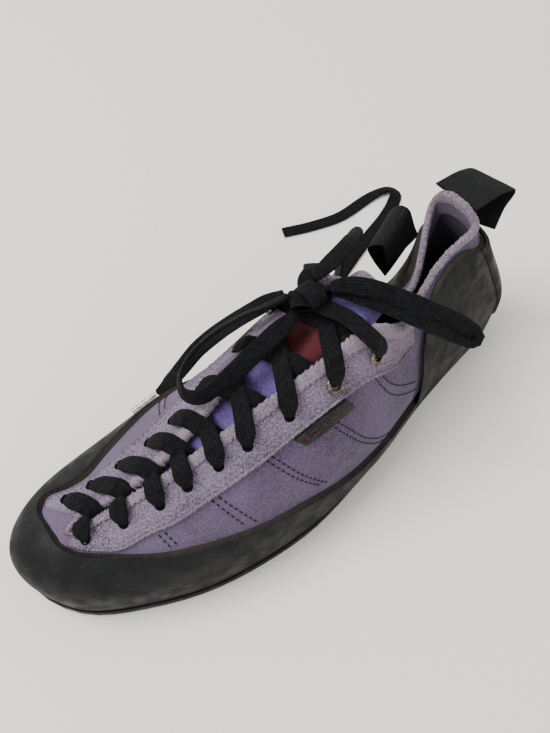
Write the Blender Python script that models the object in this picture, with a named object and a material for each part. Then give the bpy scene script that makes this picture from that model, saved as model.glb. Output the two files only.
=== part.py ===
"""A left climbing shoe with a suede upper, rubber rands and a lace that runs down to the toe.

+X runs from the heel to the toe, +Y to the outer (lateral) side and +Z up. The origin is the middle of
the heel's flat spot, on the floor. All sizes are in metres.
"""

import math
from collections import namedtuple

import bmesh
import bpy
import numpy as np
from mathutils import Vector

# Driving sizes
LENGTH = 0.273  # heel to toe, over the rubber
BALL_WIDTH = 0.092  # the width that the shares of the sections refer to; the ball is 0.96 of it
INSTEP_HEIGHT = 0.090  # floor to the upper end of the throat
HEEL_REST = 0.032  # heel's back to the middle of its flat spot
SOLE = 0.0045  # thickness of the outsole
ARCH_LIFT = 0.006  # how far the sole rises off the floor under the arch
TOE_SPRING = 0.0045  # how far it rises at the toe's tip
SUEDE = 0.0020  # wall of the upper
RAND = 0.0020  # rubber of the rands
FACING = 0.0013  # overlay along the throat
STRIP = 0.0016  # strip up the heel's back, over the heel rand
TUCK = 0.0050  # how far the upper's lower edge lies inside its widest line
GAP = 0.0003  # between pieces that touch
CURVE_GAP = 0.0006  # under the overlays, whose facets follow the upper's curve
INSOLE = 0.0022
TONGUE = 0.0022
LABEL = 0.0008
WEBBING_WIDTH = 0.024  # band of the pull loops
WEBBING = 0.0016
LACE_WIDTH = 0.0080  # the lace is flat
LACE = 0.0018
EYELET_HOLE = 0.0022  # radius
EYELET_RIM = 0.0040

# The upper in sections, from the heel's back to the toe's tip. Along is a share of LENGTH from the heel's
# back, out a share of BALL_WIDTH from the axis (lateral is positive) and rise a share of INSTEP_HEIGHT.
# Each section has its outline and its upper edge on the lateral and on the medial side. Belly is the
# height of the widest line over the lower edge, in shares of INSTEP_HEIGHT, full how far the wall keeps
# its direction at either end, in shares of its span, and lean the angle in degrees at which it reaches
# its upper edge, from 0, upright, to 90, level.
Section = namedtuple(
    "Section",
    "name lat_along lat_out med_along med_out belly"
    " lat_top_along lat_top_out lat_top_rise med_top_along med_top_out med_top_rise full lean",
)
SECTIONS = [
    Section("heel_back", 0.000, 0.000, 0.000, 0.000, 0.22, 0.116, -0.087, 1.078, 0.116, -0.087, 1.078, 0.22, 4),
    Section("heel_turn", 0.021, 0.158, 0.022, -0.168, 0.22, 0.104, 0.060, 1.000, 0.126, -0.179, 1.000, 0.22, 6),
    Section("heel_side", 0.114, 0.246, 0.106, -0.261, 0.21, 0.139, 0.103, 0.961, 0.148, -0.147, 0.878, 0.24, 16),
    Section("ankle_back", 0.198, 0.304, 0.190, -0.280, 0.20, 0.201, 0.117, 0.889, 0.189, -0.038, 0.733, 0.26, 26),
    Section("ankle", 0.280, 0.378, 0.271, -0.283, 0.18, 0.269, 0.196, 0.783, 0.240, 0.027, 0.678, 0.28, 30),
    Section("quarter", 0.377, 0.480, 0.357, -0.293, 0.16, 0.328, 0.272, 0.861, 0.304, -0.038, 0.761, 0.30, 30),
    Section("waist", 0.471, 0.539, 0.451, -0.322, 0.15, 0.392, 0.270, 0.989, 0.381, -0.098, 0.972, 0.33, 40),
    Section("instep", 0.570, 0.568, 0.553, -0.366, 0.15, 0.486, 0.251, 0.916, 0.473, -0.054, 0.911, 0.36, 50),
    Section("ball", 0.670, 0.563, 0.661, -0.394, 0.15, 0.593, 0.221, 0.800, 0.586, 0.020, 0.807, 0.36, 54),
    Section("tread", 0.773, 0.513, 0.764, -0.380, 0.15, 0.700, 0.199, 0.692, 0.696, 0.102, 0.700, 0.36, 58),
    Section("little_toe", 0.874, 0.400, 0.859, -0.350, 0.15, 0.802, 0.148, 0.573, 0.799, 0.104, 0.578, 0.38, 62),
    Section("toe_turn", 0.956, 0.242, 0.941, -0.265, 0.15, 0.874, 0.101, 0.484, 0.868, 0.050, 0.491, 0.42, 72),
    Section("toe_tip", 0.996, -0.049, 0.996, -0.049, 0.15, 0.897, 0.067, 0.458, 0.897, 0.067, 0.458, 0.46, 78),
]
LAST = len(SECTIONS) - 1  # the toe tip's place in the ring of stations
STATIONS = 2 * LAST


def periodic_spline(values):
    """A smooth closed curve through values, one for each station, as a function of the station."""
    values = np.asarray(values, float)
    count = len(values)
    system = 4 * np.eye(count) + np.roll(np.eye(count), 1, 1) + np.roll(np.eye(count), -1, 1)
    bend = np.linalg.solve(system, 3 * (np.roll(values, -1, 0) - np.roll(values, 1, 0)))

    def curve(u):
        u = np.asarray(u, float) % count
        i = np.floor(u).astype(int)
        f = u - i
        j = (i + 1) % count
        f = f.reshape(f.shape + (1,) * (values.ndim - 1))
        a, b, da, db = values[i], values[j], bend[i], bend[j]
        return (
            a * (1 - 3 * f**2 + 2 * f**3)
            + b * (3 * f**2 - 2 * f**3)
            + da * (f - 2 * f**2 + f**3)
            + db * (f**3 - f**2)
        )

    return curve


def around(lateral, medial):
    """The stations in order: heel's back, lateral side, toe's tip and medial side back to the heel."""
    return lateral + medial[-2:0:-1]


def plan(along, out):
    return (along * LENGTH - HEEL_REST, out * BALL_WIDTH)


outline = periodic_spline(
    around(
        [plan(s.lat_along, s.lat_out) for s in SECTIONS],
        [plan(s.med_along, s.med_out) for s in SECTIONS],
    )
)
top_edge = periodic_spline(
    around(
        [(*plan(s.lat_top_along, s.lat_top_out), s.lat_top_rise * INSTEP_HEIGHT) for s in SECTIONS],
        [(*plan(s.med_top_along, s.med_top_out), s.med_top_rise * INSTEP_HEIGHT) for s in SECTIONS],
    )
)
belly_height = periodic_spline(around(*[[s.belly * INSTEP_HEIGHT for s in SECTIONS]] * 2))
fullness = periodic_spline(around(*[[s.full for s in SECTIONS]] * 2))
lean_angle = periodic_spline(around(*[[math.radians(s.lean) for s in SECTIONS]] * 2))


def smooth_step(x, low, high):
    f = np.clip((x - low) / (high - low), 0, 1)
    return f * f * (3 - 2 * f)


def under_sole(x):
    """Height of the sole's underside: flat at heel and forefoot, lifted at the arch and at the toe."""
    share = (np.asarray(x, float) + HEEL_REST) / LENGTH
    arch = smooth_step(share, 0.20, 0.36) * (1 - smooth_step(share, 0.42, 0.58))
    spring = smooth_step(share, 0.80, 1.08)
    return ARCH_LIFT * arch + TOE_SPRING * spring


def outward(u):
    """The outline's outward direction in plan."""
    step = 0.02
    d = outline(u + step) - outline(u - step)
    n = np.stack([-d[..., 1], d[..., 0]], -1)
    return n / np.linalg.norm(n, axis=-1, keepdims=True)


def bezier(a, b, c, d, f):
    f = f[..., None]
    return a * (1 - f) ** 3 + 3 * b * f * (1 - f) ** 2 + 3 * c * f**2 * (1 - f) + d * f**3


UP = np.array([0.0, 0.0, 1.0])
BELLY_AT = 0.22  # share of the wall, from its lower to its upper edge, where it is widest


def skin(u, t):
    """A point of the upper's outer face: u is the station, t runs from the lower to the upper edge."""
    u, t = np.broadcast_arrays(np.asarray(u, float), np.asarray(t, float))
    rim = outline(u) - outward(u) * (RAND + CURVE_GAP)
    foot = rim - outward(u) * TUCK
    base = under_sole(foot[..., 0]) + SOLE + GAP
    low = np.concatenate([foot, base[..., None]], -1)
    widest = np.concatenate([rim, (base + belly_height(u))[..., None]], -1)
    top = top_edge(u)
    span = top - widest
    reach = np.linalg.norm(span, axis=-1, keepdims=True) * fullness(u)[..., None]
    inward = span * np.array([1, 1, 0])
    inward = inward / np.maximum(np.linalg.norm(inward, axis=-1, keepdims=True), 1e-9)
    lean = lean_angle(u)[..., None]
    arrive = UP * np.cos(lean) + inward * np.sin(lean)
    upper_part = bezier(
        widest,
        widest + UP * reach,
        top - arrive * reach,
        top,
        np.clip((t - BELLY_AT) / (1 - BELLY_AT), 0, 1),
    )
    out3 = np.concatenate([outward(u), np.zeros(u.shape + (1,))], -1)
    lower_part = bezier(
        low,
        low + out3 * TUCK * 0.6 + UP * 0.1 * belly_height(u)[..., None],
        widest - UP * 0.5 * belly_height(u)[..., None],
        widest,
        np.clip(t / BELLY_AT, 0, 1),
    )
    return np.where((t < BELLY_AT)[..., None], lower_part, upper_part)


def skin_normal(u, t):
    """The outward direction at a point of the upper's outer face."""
    du = skin(u + 0.02, t) - skin(u - 0.02, t)
    dt = skin(u, np.minimum(t + 0.01, 1)) - skin(u, np.maximum(t - 0.01, 0))
    n = np.cross(dt, du)
    return n / np.linalg.norm(n, axis=-1, keepdims=True)


def shifted(u, t, offset):
    """A point beside the upper's outer face, offset outwards along its normal."""
    return skin(u, t) + skin_normal(u, t) * np.asarray(offset)[..., None]


def seat(x):
    """Height on which the upper, the rands and the insole stand, just over the outsole."""
    return under_sole(x) + SOLE + GAP


def rubber(u, t):
    """A point of the rands' outer face: down to the sole it stays close to the outline."""
    above = shifted(u, t, RAND + CURVE_GAP + 0 * u)
    share = np.clip(t / BELLY_AT, 0, 1)
    rim = outline(u) - outward(u) * ((1 - share) ** 2 * 0.0012)[..., None]
    base = seat(rim[..., 0])
    below = np.concatenate([rim, (base + share * belly_height(u))[..., None]], -1)
    return np.where((t < BELLY_AT)[..., None], below, above)


def under_rubber(u, t):
    """A point of the rands' inner face, against the upper."""
    points = shifted(u, t, CURVE_GAP + 0 * u)
    points[..., 2] = np.maximum(points[..., 2], seat(points[..., 0]))
    return points


def through(pairs):
    """A smooth curve through (place, value) pairs."""
    xs, ys = np.array(pairs, float).T
    slope = np.gradient(ys, xs)

    def curve(x):
        x = np.clip(x, xs[0], xs[-1])
        i = np.clip(np.searchsorted(xs, x) - 1, 0, len(xs) - 2)
        h = xs[i + 1] - xs[i]
        f = (x - xs[i]) / h
        return (
            ys[i] * (1 - 3 * f**2 + 2 * f**3)
            + ys[i + 1] * (3 * f**2 - 2 * f**3)
            + slope[i] * h * (f - 2 * f**2 + f**3)
            + slope[i + 1] * h * (f**3 - f**2)
        )

    return curve


# Lines on the upper, as (station, share of the wall's height)
RAND_LINE = [
    (4.1, 0.16), (4.9, 0.185), (5.85, 0.235), (7.05, 0.365), (7.75, 0.405), (8.65, 0.485), (9.5, 0.57),
    (10.27, 0.695), (10.9, 0.79), (11.5, 0.88), (12.0, 0.905), (12.5, 0.82), (12.95, 0.64), (13.2, 0.60),
    (13.5, 0.66), (13.9, 0.685), (14.5, 0.62), (15.3, 0.535), (16.2, 0.44), (17.2, 0.33), (18.2, 0.23),
    (19.1, 0.18), (19.9, 0.16),
]  # fmt: skip
LATERAL_SEAM = [
    (4.15, 0.775), (5.4, 0.765), (6.25, 0.775), (7.25, 0.775), (7.75, 0.755), (8.2, 0.745), (8.7, 0.735),
    (9.2, 0.712), (9.6, 0.715), (10.05, 0.69), (10.4, 0.735), (10.9, 0.81), (11.25, 0.855),
]  # fmt: skip
MEDIAL_SEAM = [
    (12.95, 0.675), (13.2, 0.63), (13.5, 0.69), (13.9, 0.72), (14.5, 0.725), (15.3, 0.74), (16.2, 0.755),
    (17.2, 0.775), (18.0, 0.775), (19.0, 0.765), (19.85, 0.775),
]  # fmt: skip
HEEL_LINE = [(0.0, 0.80), (0.8, 0.815), (1.6, 0.86), (2.2, 0.935), (2.9, 0.935), (3.3, 0.90), (3.6, 0.82)]
HEEL_FRONT = [(0.0, 4.04), (0.16, 4.05), (0.4, 3.96), (0.7, 3.84), (0.82, 3.6)]
STRIP_EDGE = [(0.0, 1.0), (0.25, 1.06), (0.55, 1.24), (0.74, 1.4), (0.86, 1.62)]
rand_line, lateral_seam, medial_seam = through(RAND_LINE), through(LATERAL_SEAM), through(MEDIAL_SEAM)
heel_line, heel_front, strip_edge = through(HEEL_LINE), through(HEEL_FRONT), through(STRIP_EDGE)

EYELETS_LATERAL = [
    (5.77, 0.88), (6.60, 0.87), (7.37, 0.88), (8.05, 0.875), (8.52, 0.875), (9.01, 0.875), (9.43, 0.862),
    (10.01, 0.865), (10.76, 0.875),
]  # fmt: skip
EYELETS_MEDIAL = [
    (18.25, 0.87), (17.4, 0.86), (16.6, 0.855), (15.88, 0.85), (15.30, 0.85), (14.88, 0.83), (14.39, 0.80),
    (13.84, 0.79), (13.3, 0.77),
]  # fmt: skip
METAL_EYELETS = 2  # the upper pairs, the others are plain holes


def remove_all():
    for thing in list(bpy.data.objects):
        bpy.data.objects.remove(thing, do_unlink=True)


def material(name, colour, roughness, metallic=0.0):
    m = bpy.data.materials.get(name) or bpy.data.materials.new(name)
    m.use_nodes = True
    shader = m.node_tree.nodes["Principled BSDF"]
    shader.inputs["Base Color"].default_value = (*colour, 1)
    shader.inputs["Roughness"].default_value = roughness
    shader.inputs["Metallic"].default_value = metallic
    m.diffuse_color = (*colour, 1)
    return m


def finish(name, bm, look, smooth=True):
    """Make a named object of a bmesh, with its faces pointing out."""
    bmesh.ops.remove_doubles(bm, verts=bm.verts, dist=2e-6)
    bmesh.ops.dissolve_degenerate(bm, edges=bm.edges, dist=1e-6)
    bmesh.ops.recalc_face_normals(bm, faces=bm.faces)
    mesh = bpy.data.meshes.new(name)
    bm.to_mesh(mesh)
    bm.free()
    mesh.materials.append(look)
    if smooth:
        mesh.shade_smooth()
        mesh.set_sharp_from_angle(angle=math.radians(40))
    thing = bpy.data.objects.new(name, mesh)
    bpy.context.collection.objects.link(thing)
    return thing


def shell(name, outer, inner, look, closed=False):
    """A solid between two grids of points; closed joins the first and last rows into a ring."""
    bm = bmesh.new()
    grids = [[[bm.verts.new(p) for p in row] for row in grid] for grid in (outer, inner)]
    rows, columns = len(outer), len(outer[0])
    pairs = [(i, (i + 1) % rows) for i in range(rows if closed else rows - 1)]
    for grid in grids:
        for i, j in pairs:
            for k in range(columns - 1):
                bm.faces.new((grid[i][k], grid[j][k], grid[j][k + 1], grid[i][k + 1]))
    for i, j in pairs:
        for k in (0, columns - 1):
            bm.faces.new((grids[0][i][k], grids[0][j][k], grids[1][j][k], grids[1][i][k]))
    if not closed:
        for i in (0, rows - 1):
            for k in range(columns - 1):
                bm.faces.new((grids[0][i][k], grids[0][i][k + 1], grids[1][i][k + 1], grids[1][i][k]))
    return finish(name, bm, look)


def plate(name, edge_rings, look, rows=44, columns=4):
    """A flat piece: rings of points around its edge, its under and upper sides filled across."""
    bm = bmesh.new()
    stations = [j * STATIONS / (2 * rows) for j in range(2 * rows)]
    rings = [[bm.verts.new(p) for p in ring(np.array(stations))] for ring in edge_rings]
    count = 2 * rows
    for low, high in zip(rings, rings[1:]):
        for j in range(count):
            k = (j + 1) % count
            bm.faces.new((low[j], low[k], high[k], high[j]))
    for ring, z_of in ((rings[0], edge_rings[0].height), (rings[-1], edge_rings[-1].height)):
        lines = []
        for j in range(1, rows):
            a, b = ring[j], ring[count - j]
            inside = []
            for k in range(1, columns):
                p = a.co.lerp(b.co, k / columns)
                inside.append(bm.verts.new((p.x, p.y, z_of(p.x))))
            lines.append([a, *inside, b])
        for one, two in zip(lines, lines[1:]):
            for k in range(columns):
                bm.faces.new((one[k], one[k + 1], two[k + 1], two[k]))
        for line, end in ((lines[0], ring[0]), (lines[-1], ring[rows])):
            for k in range(columns):
                bm.faces.new((line[k], line[k + 1], end))
    return finish(name, bm, look)


def edge_ring(inset, height):
    """The outline moved inwards by inset(station), at a height that follows x."""

    def ring(u):
        p = outline(u) - outward(u) * inset(u)[..., None]
        return np.column_stack([p, [height(x) for x in p[:, 0]]])

    ring.height = height
    return ring


def waist_share(u):
    """1 in the arch and at the heel, 0 at the forefoot, to draw the outsole in."""
    x = outline(u)[..., 0] + HEEL_REST
    return 1 - smooth_step(x / LENGTH, 0.36, 0.60)


def make_outsole(look):
    inset = lambda u: 0.0004 + 0.0022 * waist_share(u)
    return plate(
        "outsole",
        [
            edge_ring(lambda u: inset(u) + 0.0010, lambda x: float(under_sole(x))),
            edge_ring(inset, lambda x: float(under_sole(x)) + 0.0010),
            edge_ring(inset, lambda x: float(under_sole(x)) + SOLE),
        ],
        look,
    )


def make_insole(look):
    inset = RAND + GAP + TUCK + 0.0020
    low = lambda x: float(seat(x)) + GAP
    high = lambda x: low(x) + INSOLE
    return plate(
        "insole",
        [edge_ring(lambda u: inset + 0 * u, low), edge_ring(lambda u: inset + 0 * u, high)],
        look,
        rows=32,
        columns=2,
    )


BELLY_ROWS = np.array([0.0, 0.34, 0.68, 1.0])  # rows of faces from the lower edge to the widest line


def make_upper(look):
    u = np.arange(0, STATIONS, 0.4)
    t = np.concatenate([BELLY_ROWS * BELLY_AT, np.linspace(BELLY_AT, 1, 7)[1:]])
    uu, tt = np.meshgrid(u, t, indexing="ij")
    outer = skin(uu, tt)
    inner = shifted(uu, tt, -SUEDE + 0 * uu)
    inner[..., 2] = np.maximum(inner[..., 2], seat(inner[..., 0]) + 0.0012)
    return shell("upper", outer, inner, look, closed=True)


def rand_rows(top, above):
    """Shares of the wall's height from its lower edge to top, with a row on the widest line."""
    low = np.minimum(BELLY_AT, top - 0.03)
    lower = BELLY_ROWS * low[..., None]
    return np.concatenate([lower, low[..., None] + (top - low)[..., None] * above], -1)


def make_toe_rand(look):
    u = np.concatenate([[4.09], np.arange(4.4, 19.7, 0.4), [19.91]])
    tt = rand_rows(rand_line(u), np.linspace(0, 1, 6)[1:])
    uu = np.broadcast_to(u[:, None], tt.shape)
    return shell("toe_rand", rubber(uu, tt), under_rubber(uu, tt), look)


def make_heel_rand(look):
    side = np.linspace(-1, 1, 25)
    above = np.linspace(0, 1, 6)[1:]
    tt = rand_rows(0.8 + 0 * side, above)
    for _ in range(8):  # the upper and the front edge both bend, so the rows settle in a few rounds
        uu = side[:, None] * heel_front(tt)
        top = heel_line(np.abs(uu[:, 4:]))
        tt[:, 4:] = BELLY_AT + (top - BELLY_AT) * above
    return shell("heel_rand", rubber(uu, tt), under_rubber(uu, tt), look)


def make_heel_strip(look):
    side = np.linspace(-1, 1, 9)
    share = np.linspace(0, 1, 9)
    ss, bb = np.meshgrid(side, share, indexing="ij")
    tt = 0.10 + bb * 0.66
    for _ in range(8):
        uu = ss * strip_edge(tt)
        tt = 0.10 + bb * (heel_line(np.abs(uu)) - 0.012 - 0.10)
    face = rubber(uu, tt)
    out = skin_normal(uu, np.maximum(tt, BELLY_AT))
    return shell("heel_strip", face + out * (CURVE_GAP + STRIP), face + out * CURVE_GAP, look)


def make_facing(name, start, stop, seam, look):
    u = np.linspace(start, stop, 34)
    share = np.linspace(0, 1, 3)
    uu, ss = np.meshgrid(u, share, indexing="ij")
    low = seam(u)[:, None]
    tt = low + (0.985 - low) * ss
    return shell(
        name, shifted(uu, tt, CURVE_GAP + FACING + 0 * uu), shifted(uu, tt, CURVE_GAP + 0 * uu), look
    )


def make_tag(look):
    """The woven tag under the lateral facing's seam."""
    a, b = np.meshgrid(np.linspace(0, 1, 7), np.linspace(0, 1, 4), indexing="ij")
    uu = 7.30 - 0.95 * a - 0.27 * (1 - b)
    tt = lateral_seam(uu) - 0.012 - 0.085 * (1 - b)
    return shell(
        "side_tag", shifted(uu, tt, CURVE_GAP + LABEL + 0 * uu), shifted(uu, tt, CURVE_GAP + 0 * uu), look
    )


# The tongue's free end, past the throat: its last rows from the medial to the lateral edge, in mm
TONGUE_END = [
    [(70, -4.5, 84.5), (68, 1, 87), (66.5, 7, 88), (66, 14, 86), (66, 19.5, 82)],
    [(69, -4, 86.5), (63.5, -1.5, 89.5), (57.5, 0.5, 92.5), (54.5, 9, 88), (57, 17, 82.5)],
]
MM = 0.001


def tongue_middle():
    """Rows of the tongue's middle surface: under the facings from the toe, then free."""
    depth = SUEDE + 0.0018 + TONGUE / 2
    rows = []
    for u in np.linspace(10.5, 6.15, 13):
        places = [(STATIONS - u, 0.80), (STATIONS - u, 0.90), (STATIONS - u, 0.99)]
        places += [(u, 0.99), (u, 0.90), (u, 0.80)]
        m1, m2, m3, l3, l2, l1 = [shifted(np.array(a), np.array(t), np.array(-depth)) for a, t in places]
        rows.append([m1, m2, m3, (m3 + l3) / 2, l3, l2, l1])
    for end in TONGUE_END:
        a, b, c, d, e = [np.array(p) * MM for p in end]
        rows.append([a, (a + b) / 2, b, c, d, (d + e) / 2, e])
    return np.array(rows)


def upward_normals(grid):
    n = np.cross(np.gradient(grid, axis=1), np.gradient(grid, axis=0))
    n /= np.linalg.norm(n, axis=-1, keepdims=True)
    return n * np.sign(n[..., 2:3])


def make_tongue(look):
    middle = tongue_middle()
    half = upward_normals(middle) * TONGUE / 2
    return shell("tongue", middle + half, middle - half, look)


def make_tongue_label(look):
    """A patch near the tongue's end."""
    middle = tongue_middle()
    normal = upward_normals(middle)
    patch, up = middle[9:13, 2:5], normal[9:13, 2:5]
    patch = patch + (middle[9:13, 3:4] - patch) * 0.15
    low = TONGUE / 2 + CURVE_GAP
    return shell("tongue_label", patch + up * (low + LABEL), patch + up * low, look)


def sweep(name, points, sides, widths, thicks, look):
    """A flat band along points; sides is the direction of its width at each of them."""
    points, sides = np.array(points, float), np.array(sides, float)
    along = np.gradient(points, axis=0)
    along /= np.linalg.norm(along, axis=1, keepdims=True)
    sides -= along * (sides * along).sum(1, keepdims=True)
    sides /= np.linalg.norm(sides, axis=1, keepdims=True)
    up = np.cross(along, sides)
    w, h = np.array(widths)[:, None] / 2, np.array(thicks)[:, None] / 2
    corners = [points + sides * w * a + up * h * b for a, b in ((1, -1), (1, 1), (-1, 1), (-1, -1))]
    bm = bmesh.new()
    rings = [[bm.verts.new(corner[i]) for corner in corners] for i in range(len(points))]
    for one, two in zip(rings, rings[1:]):
        for k in range(4):
            bm.faces.new((one[k], one[(k + 1) % 4], two[(k + 1) % 4], two[k]))
    bm.faces.new(rings[0][::-1])
    bm.faces.new(rings[-1])
    return finish(name, bm, look, smooth=False)


def smooth_route(rows, step):
    """Points every step along a smooth curve through the rows' first three numbers; the rest ride along."""
    rows = np.array(rows, float)
    chord = np.linalg.norm(np.diff(rows[:, :3], axis=0), axis=1) ** 0.5
    knots = np.concatenate([[0], np.cumsum(chord)])
    slope = np.gradient(rows, knots, axis=0)
    fine = np.linspace(0, knots[-1], 40 * len(rows))
    i = np.clip(np.searchsorted(knots, fine) - 1, 0, len(knots) - 2)
    h = (knots[i + 1] - knots[i])[:, None]
    f = (fine - knots[i])[:, None] / h
    curve = (
        rows[i] * (1 - 3 * f**2 + 2 * f**3)
        + rows[i + 1] * (3 * f**2 - 2 * f**3)
        + slope[i] * h * (f - 2 * f**2 + f**3)
        + slope[i + 1] * h * (f**3 - f**2)
    )
    run = np.concatenate([[0], np.cumsum(np.linalg.norm(np.diff(curve[:, :3], axis=0), axis=1))])
    count = max(3, round(run[-1] / step) + 1)
    even = np.linspace(0, run[-1], count)
    return np.column_stack([np.interp(even, run, curve[:, k]) for k in range(rows.shape[1])])


def rolled_sides(route):
    """Width directions of a band: roll is 0 where it lies flat and 90 where it stands on its edge."""
    along = np.gradient(route[:, :3], axis=0)
    flat = np.cross(UP, along)
    flat /= np.linalg.norm(flat, axis=1, keepdims=True)
    rise = np.cross(along, flat)
    rise /= np.linalg.norm(rise, axis=1, keepdims=True)
    roll = np.radians(route[:, 3:4])
    return flat * np.cos(roll) + rise * np.sin(roll)


# The free lace: x, y, z in mm and the band's roll in degrees, from the knot outwards
KNOT = (85.5, 0.5, 95.5)
KNOT_HALF = (7.5, 7.0, 4.5)
LEFT_LOOP = [
    (94, -4, 97, 30), (102, -5.5, 96, 40), (113.5, -9, 93.5, 45), (127.5, -11.7, 88.5, 50),
    (138.5, -11.2, 83, 60), (145.2, -7.4, 79.5, 70), (147.5, -0.7, 78, 80), (143.2, 4.8, 78.5, 75),
    (132.7, 5.8, 81.5, 60), (118.6, 5.1, 86, 40), (104, 3.9, 90.5, 25), (94.5, 3, 92.8, 10),
]  # fmt: skip
RIGHT_LOOP = [
    (77, 4.5, 99, 0), (73, 6, 99, 0), (64.4, 13, 97.5, 5), (55.7, 21.8, 93.5, 10), (46.3, 30.6, 87.5, 10),
    (37.3, 37.5, 80.5, 10), (31.2, 42, 74.5, 10), (29.6, 44, 71.5, 10), (32, 45, 70.5, 10),
    (37.5, 42, 74.5, 10), (44.5, 37.3, 80.5, 10), (52.5, 30.5, 86.5, 10), (60, 22, 91, 10),
    (66.2, 14, 94, 5), (72, 7.6, 95.8, 0), (76.5, 4, 96.2, 0),
]  # fmt: skip
END_TOE = [
    (92.5, -8.5, 93, 0), (97, -11, 90.5, -10), (103, -13.5, 87, -20), (110, -20, 77.5, -35),
    (117, -29, 63, -55), (123.8, -37, 48, -70), (130.6, -44, 31, -70), (136, -50, 17, -50),
    (140.2, -53, 10, -20), (143.8, -54.3, 7.2, -5),
]  # fmt: skip
TIP_TOE = [(145, -54.5, 6.6), (159.5, -55, 2.2)]
END_HEEL = [
    (80.4, -4.1, 99.2, 0), (70, -5.5, 101, 0), (58, -9.5, 100.5, 0), (49.5, -16, 96, -20),
    (45, -24, 86, -50), (43, -30, 70, -70), (42, -34, 52, -80), (41, -37.5, 34, -80), (39, -42, 17, -60),
    (34, -49, 5, -20), (24, -60, 1.2, 0),
    (2.8, -70.7, 1.2, 0), (-18.3, -79.7, 1.2, 0), (-38.4, -87.5, 1.2, 0), (-50, -93.5, 1.4, 10),
    (-57, -99.5, 2.2, 25), (-55.5, -105, 2.2, 25), (-46, -107, 1.4, 10), (-37, -106.5, 1.2, 0),
    (-15.9, -104.5, 1.2, 0), (4.4, -108.8, 1.2, 0), (20.9, -114.7, 1.2, 0),
]  # fmt: skip
LACE_STEP = 0.0065


def make_cord(name, rows, look):
    route = smooth_route(np.array(rows) * (MM, MM, MM, 1), LACE_STEP)
    count = len(route)
    return sweep(name, route[:, :3], rolled_sides(route), [LACE_WIDTH] * count, [LACE] * count, look)


def make_knot(look):
    bm = bmesh.new()
    bmesh.ops.create_uvsphere(bm, u_segments=12, v_segments=8, radius=1)
    bmesh.ops.scale(bm, verts=bm.verts, vec=Vector(KNOT_HALF) * MM)
    bmesh.ops.translate(bm, verts=bm.verts, vec=Vector(KNOT) * MM)
    return finish("lace_knot", bm, look)


def rod(name, start, end, radius, look):
    a, b = Vector(start) * MM, Vector(end) * MM
    bm = bmesh.new()
    bmesh.ops.create_cone(
        bm, cap_ends=True, segments=10, radius1=radius, radius2=radius, depth=(b - a).length
    )
    bm.transform((b - a).to_track_quat("Z", "Y").to_matrix().to_4x4())
    bmesh.ops.translate(bm, verts=bm.verts, vec=(a + b) / 2)
    return finish(name, bm, look)


EYELET_TOP = CURVE_GAP + FACING + GAP + 0.0003  # under side of the grommet's flange
LACE_LIFT = EYELET_TOP + 0.0006 + GAP + LACE / 2 + 0.0002
OWN_RIM, OTHER_RIM, REACH = 0.34, 0.66, 0.54  # shares of a strand's run from eyelet to eyelet
PLAIN_LIFT = CURVE_GAP + FACING + GAP + LACE / 2 + 0.0003  # at a plain hole
RIM_LIFT = 0.0012  # where a strand bends over the facing's edge
SAG = 0.15  # of a strand over the tongue, as a share of its free run


def strand(start, goal, reach, lift):
    """Points and sides of a lace strand from an eyelet over its facing's edge towards the next one."""
    (u0, t0), (u1, _) = start, goal
    points, normals, rims = [], [], []
    across = np.zeros(3)
    for share, mirror in ((OWN_RIM, False), (OTHER_RIM, True)):
        u = u0 + (STATIONS - u1 - u0) * share
        u = STATIONS - u if mirror else u
        rims.append(shifted(np.array(u), np.array(0.99), np.array(LACE_LIFT + RIM_LIFT)))
        across = across + skin_normal(np.array(u), np.array(0.99))
    for share in np.linspace(0, reach, 8):
        u = u0 + (STATIONS - u1 - u0) * share
        if share < OWN_RIM:
            part = share / OWN_RIM
            t = t0 + (0.99 - t0) * part
            points.append(shifted(np.array(u), np.array(t), np.array(lift + (LACE_LIFT + RIM_LIFT - lift) * part)))
            normals.append(skin_normal(np.array(u), np.array(t)))
        else:
            f = (share - OWN_RIM) / (OTHER_RIM - OWN_RIM)
            width = np.linalg.norm(rims[1] - rims[0])
            points.append(rims[0] * (1 - f) + rims[1] * f - UP * SAG * width * f * (1 - f))
            normals.append(across)
    points = np.array(points)
    sides = np.cross(np.array(normals), np.gradient(points, axis=0))
    return points, sides


def make_crossing(index, look):
    """The two strands from one pair of eyelets, joined where they cross."""
    pair = []
    for side, (own, other) in enumerate(
        ((EYELETS_LATERAL, EYELETS_MEDIAL), (EYELETS_MEDIAL, EYELETS_LATERAL))
    ):
        lift = LACE_LIFT if index < METAL_EYELETS else PLAIN_LIFT
        points, sides = strand(own[index], other[index - 1], REACH, lift)
        count = len(points)
        widths = LACE_WIDTH * (0.55 + 0.45 * np.clip(np.arange(count) / 2, 0, 1))
        thick = LACE * (1 + 0.12 * side)
        pair.append(sweep("lace_crossing_%d" % index, points, sides, widths, [thick] * count, look))
    return join(pair[0], pair[1])


def join(thing, other):
    """Boolean union of two pieces; the second one goes."""
    combine(thing, other, "UNION")
    bpy.data.objects.remove(other, do_unlink=True)
    return thing


def combine(thing, other, operation):
    modifier = thing.modifiers.new(operation.lower(), "BOOLEAN")
    modifier.operation = operation
    modifier.object = other
    graph = bpy.context.evaluated_depsgraph_get()
    mesh = bpy.data.meshes.new_from_object(thing.evaluated_get(graph))
    thing.modifiers.clear()
    old = thing.data
    thing.data = mesh
    mesh.name = thing.name
    bpy.data.meshes.remove(old)


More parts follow.
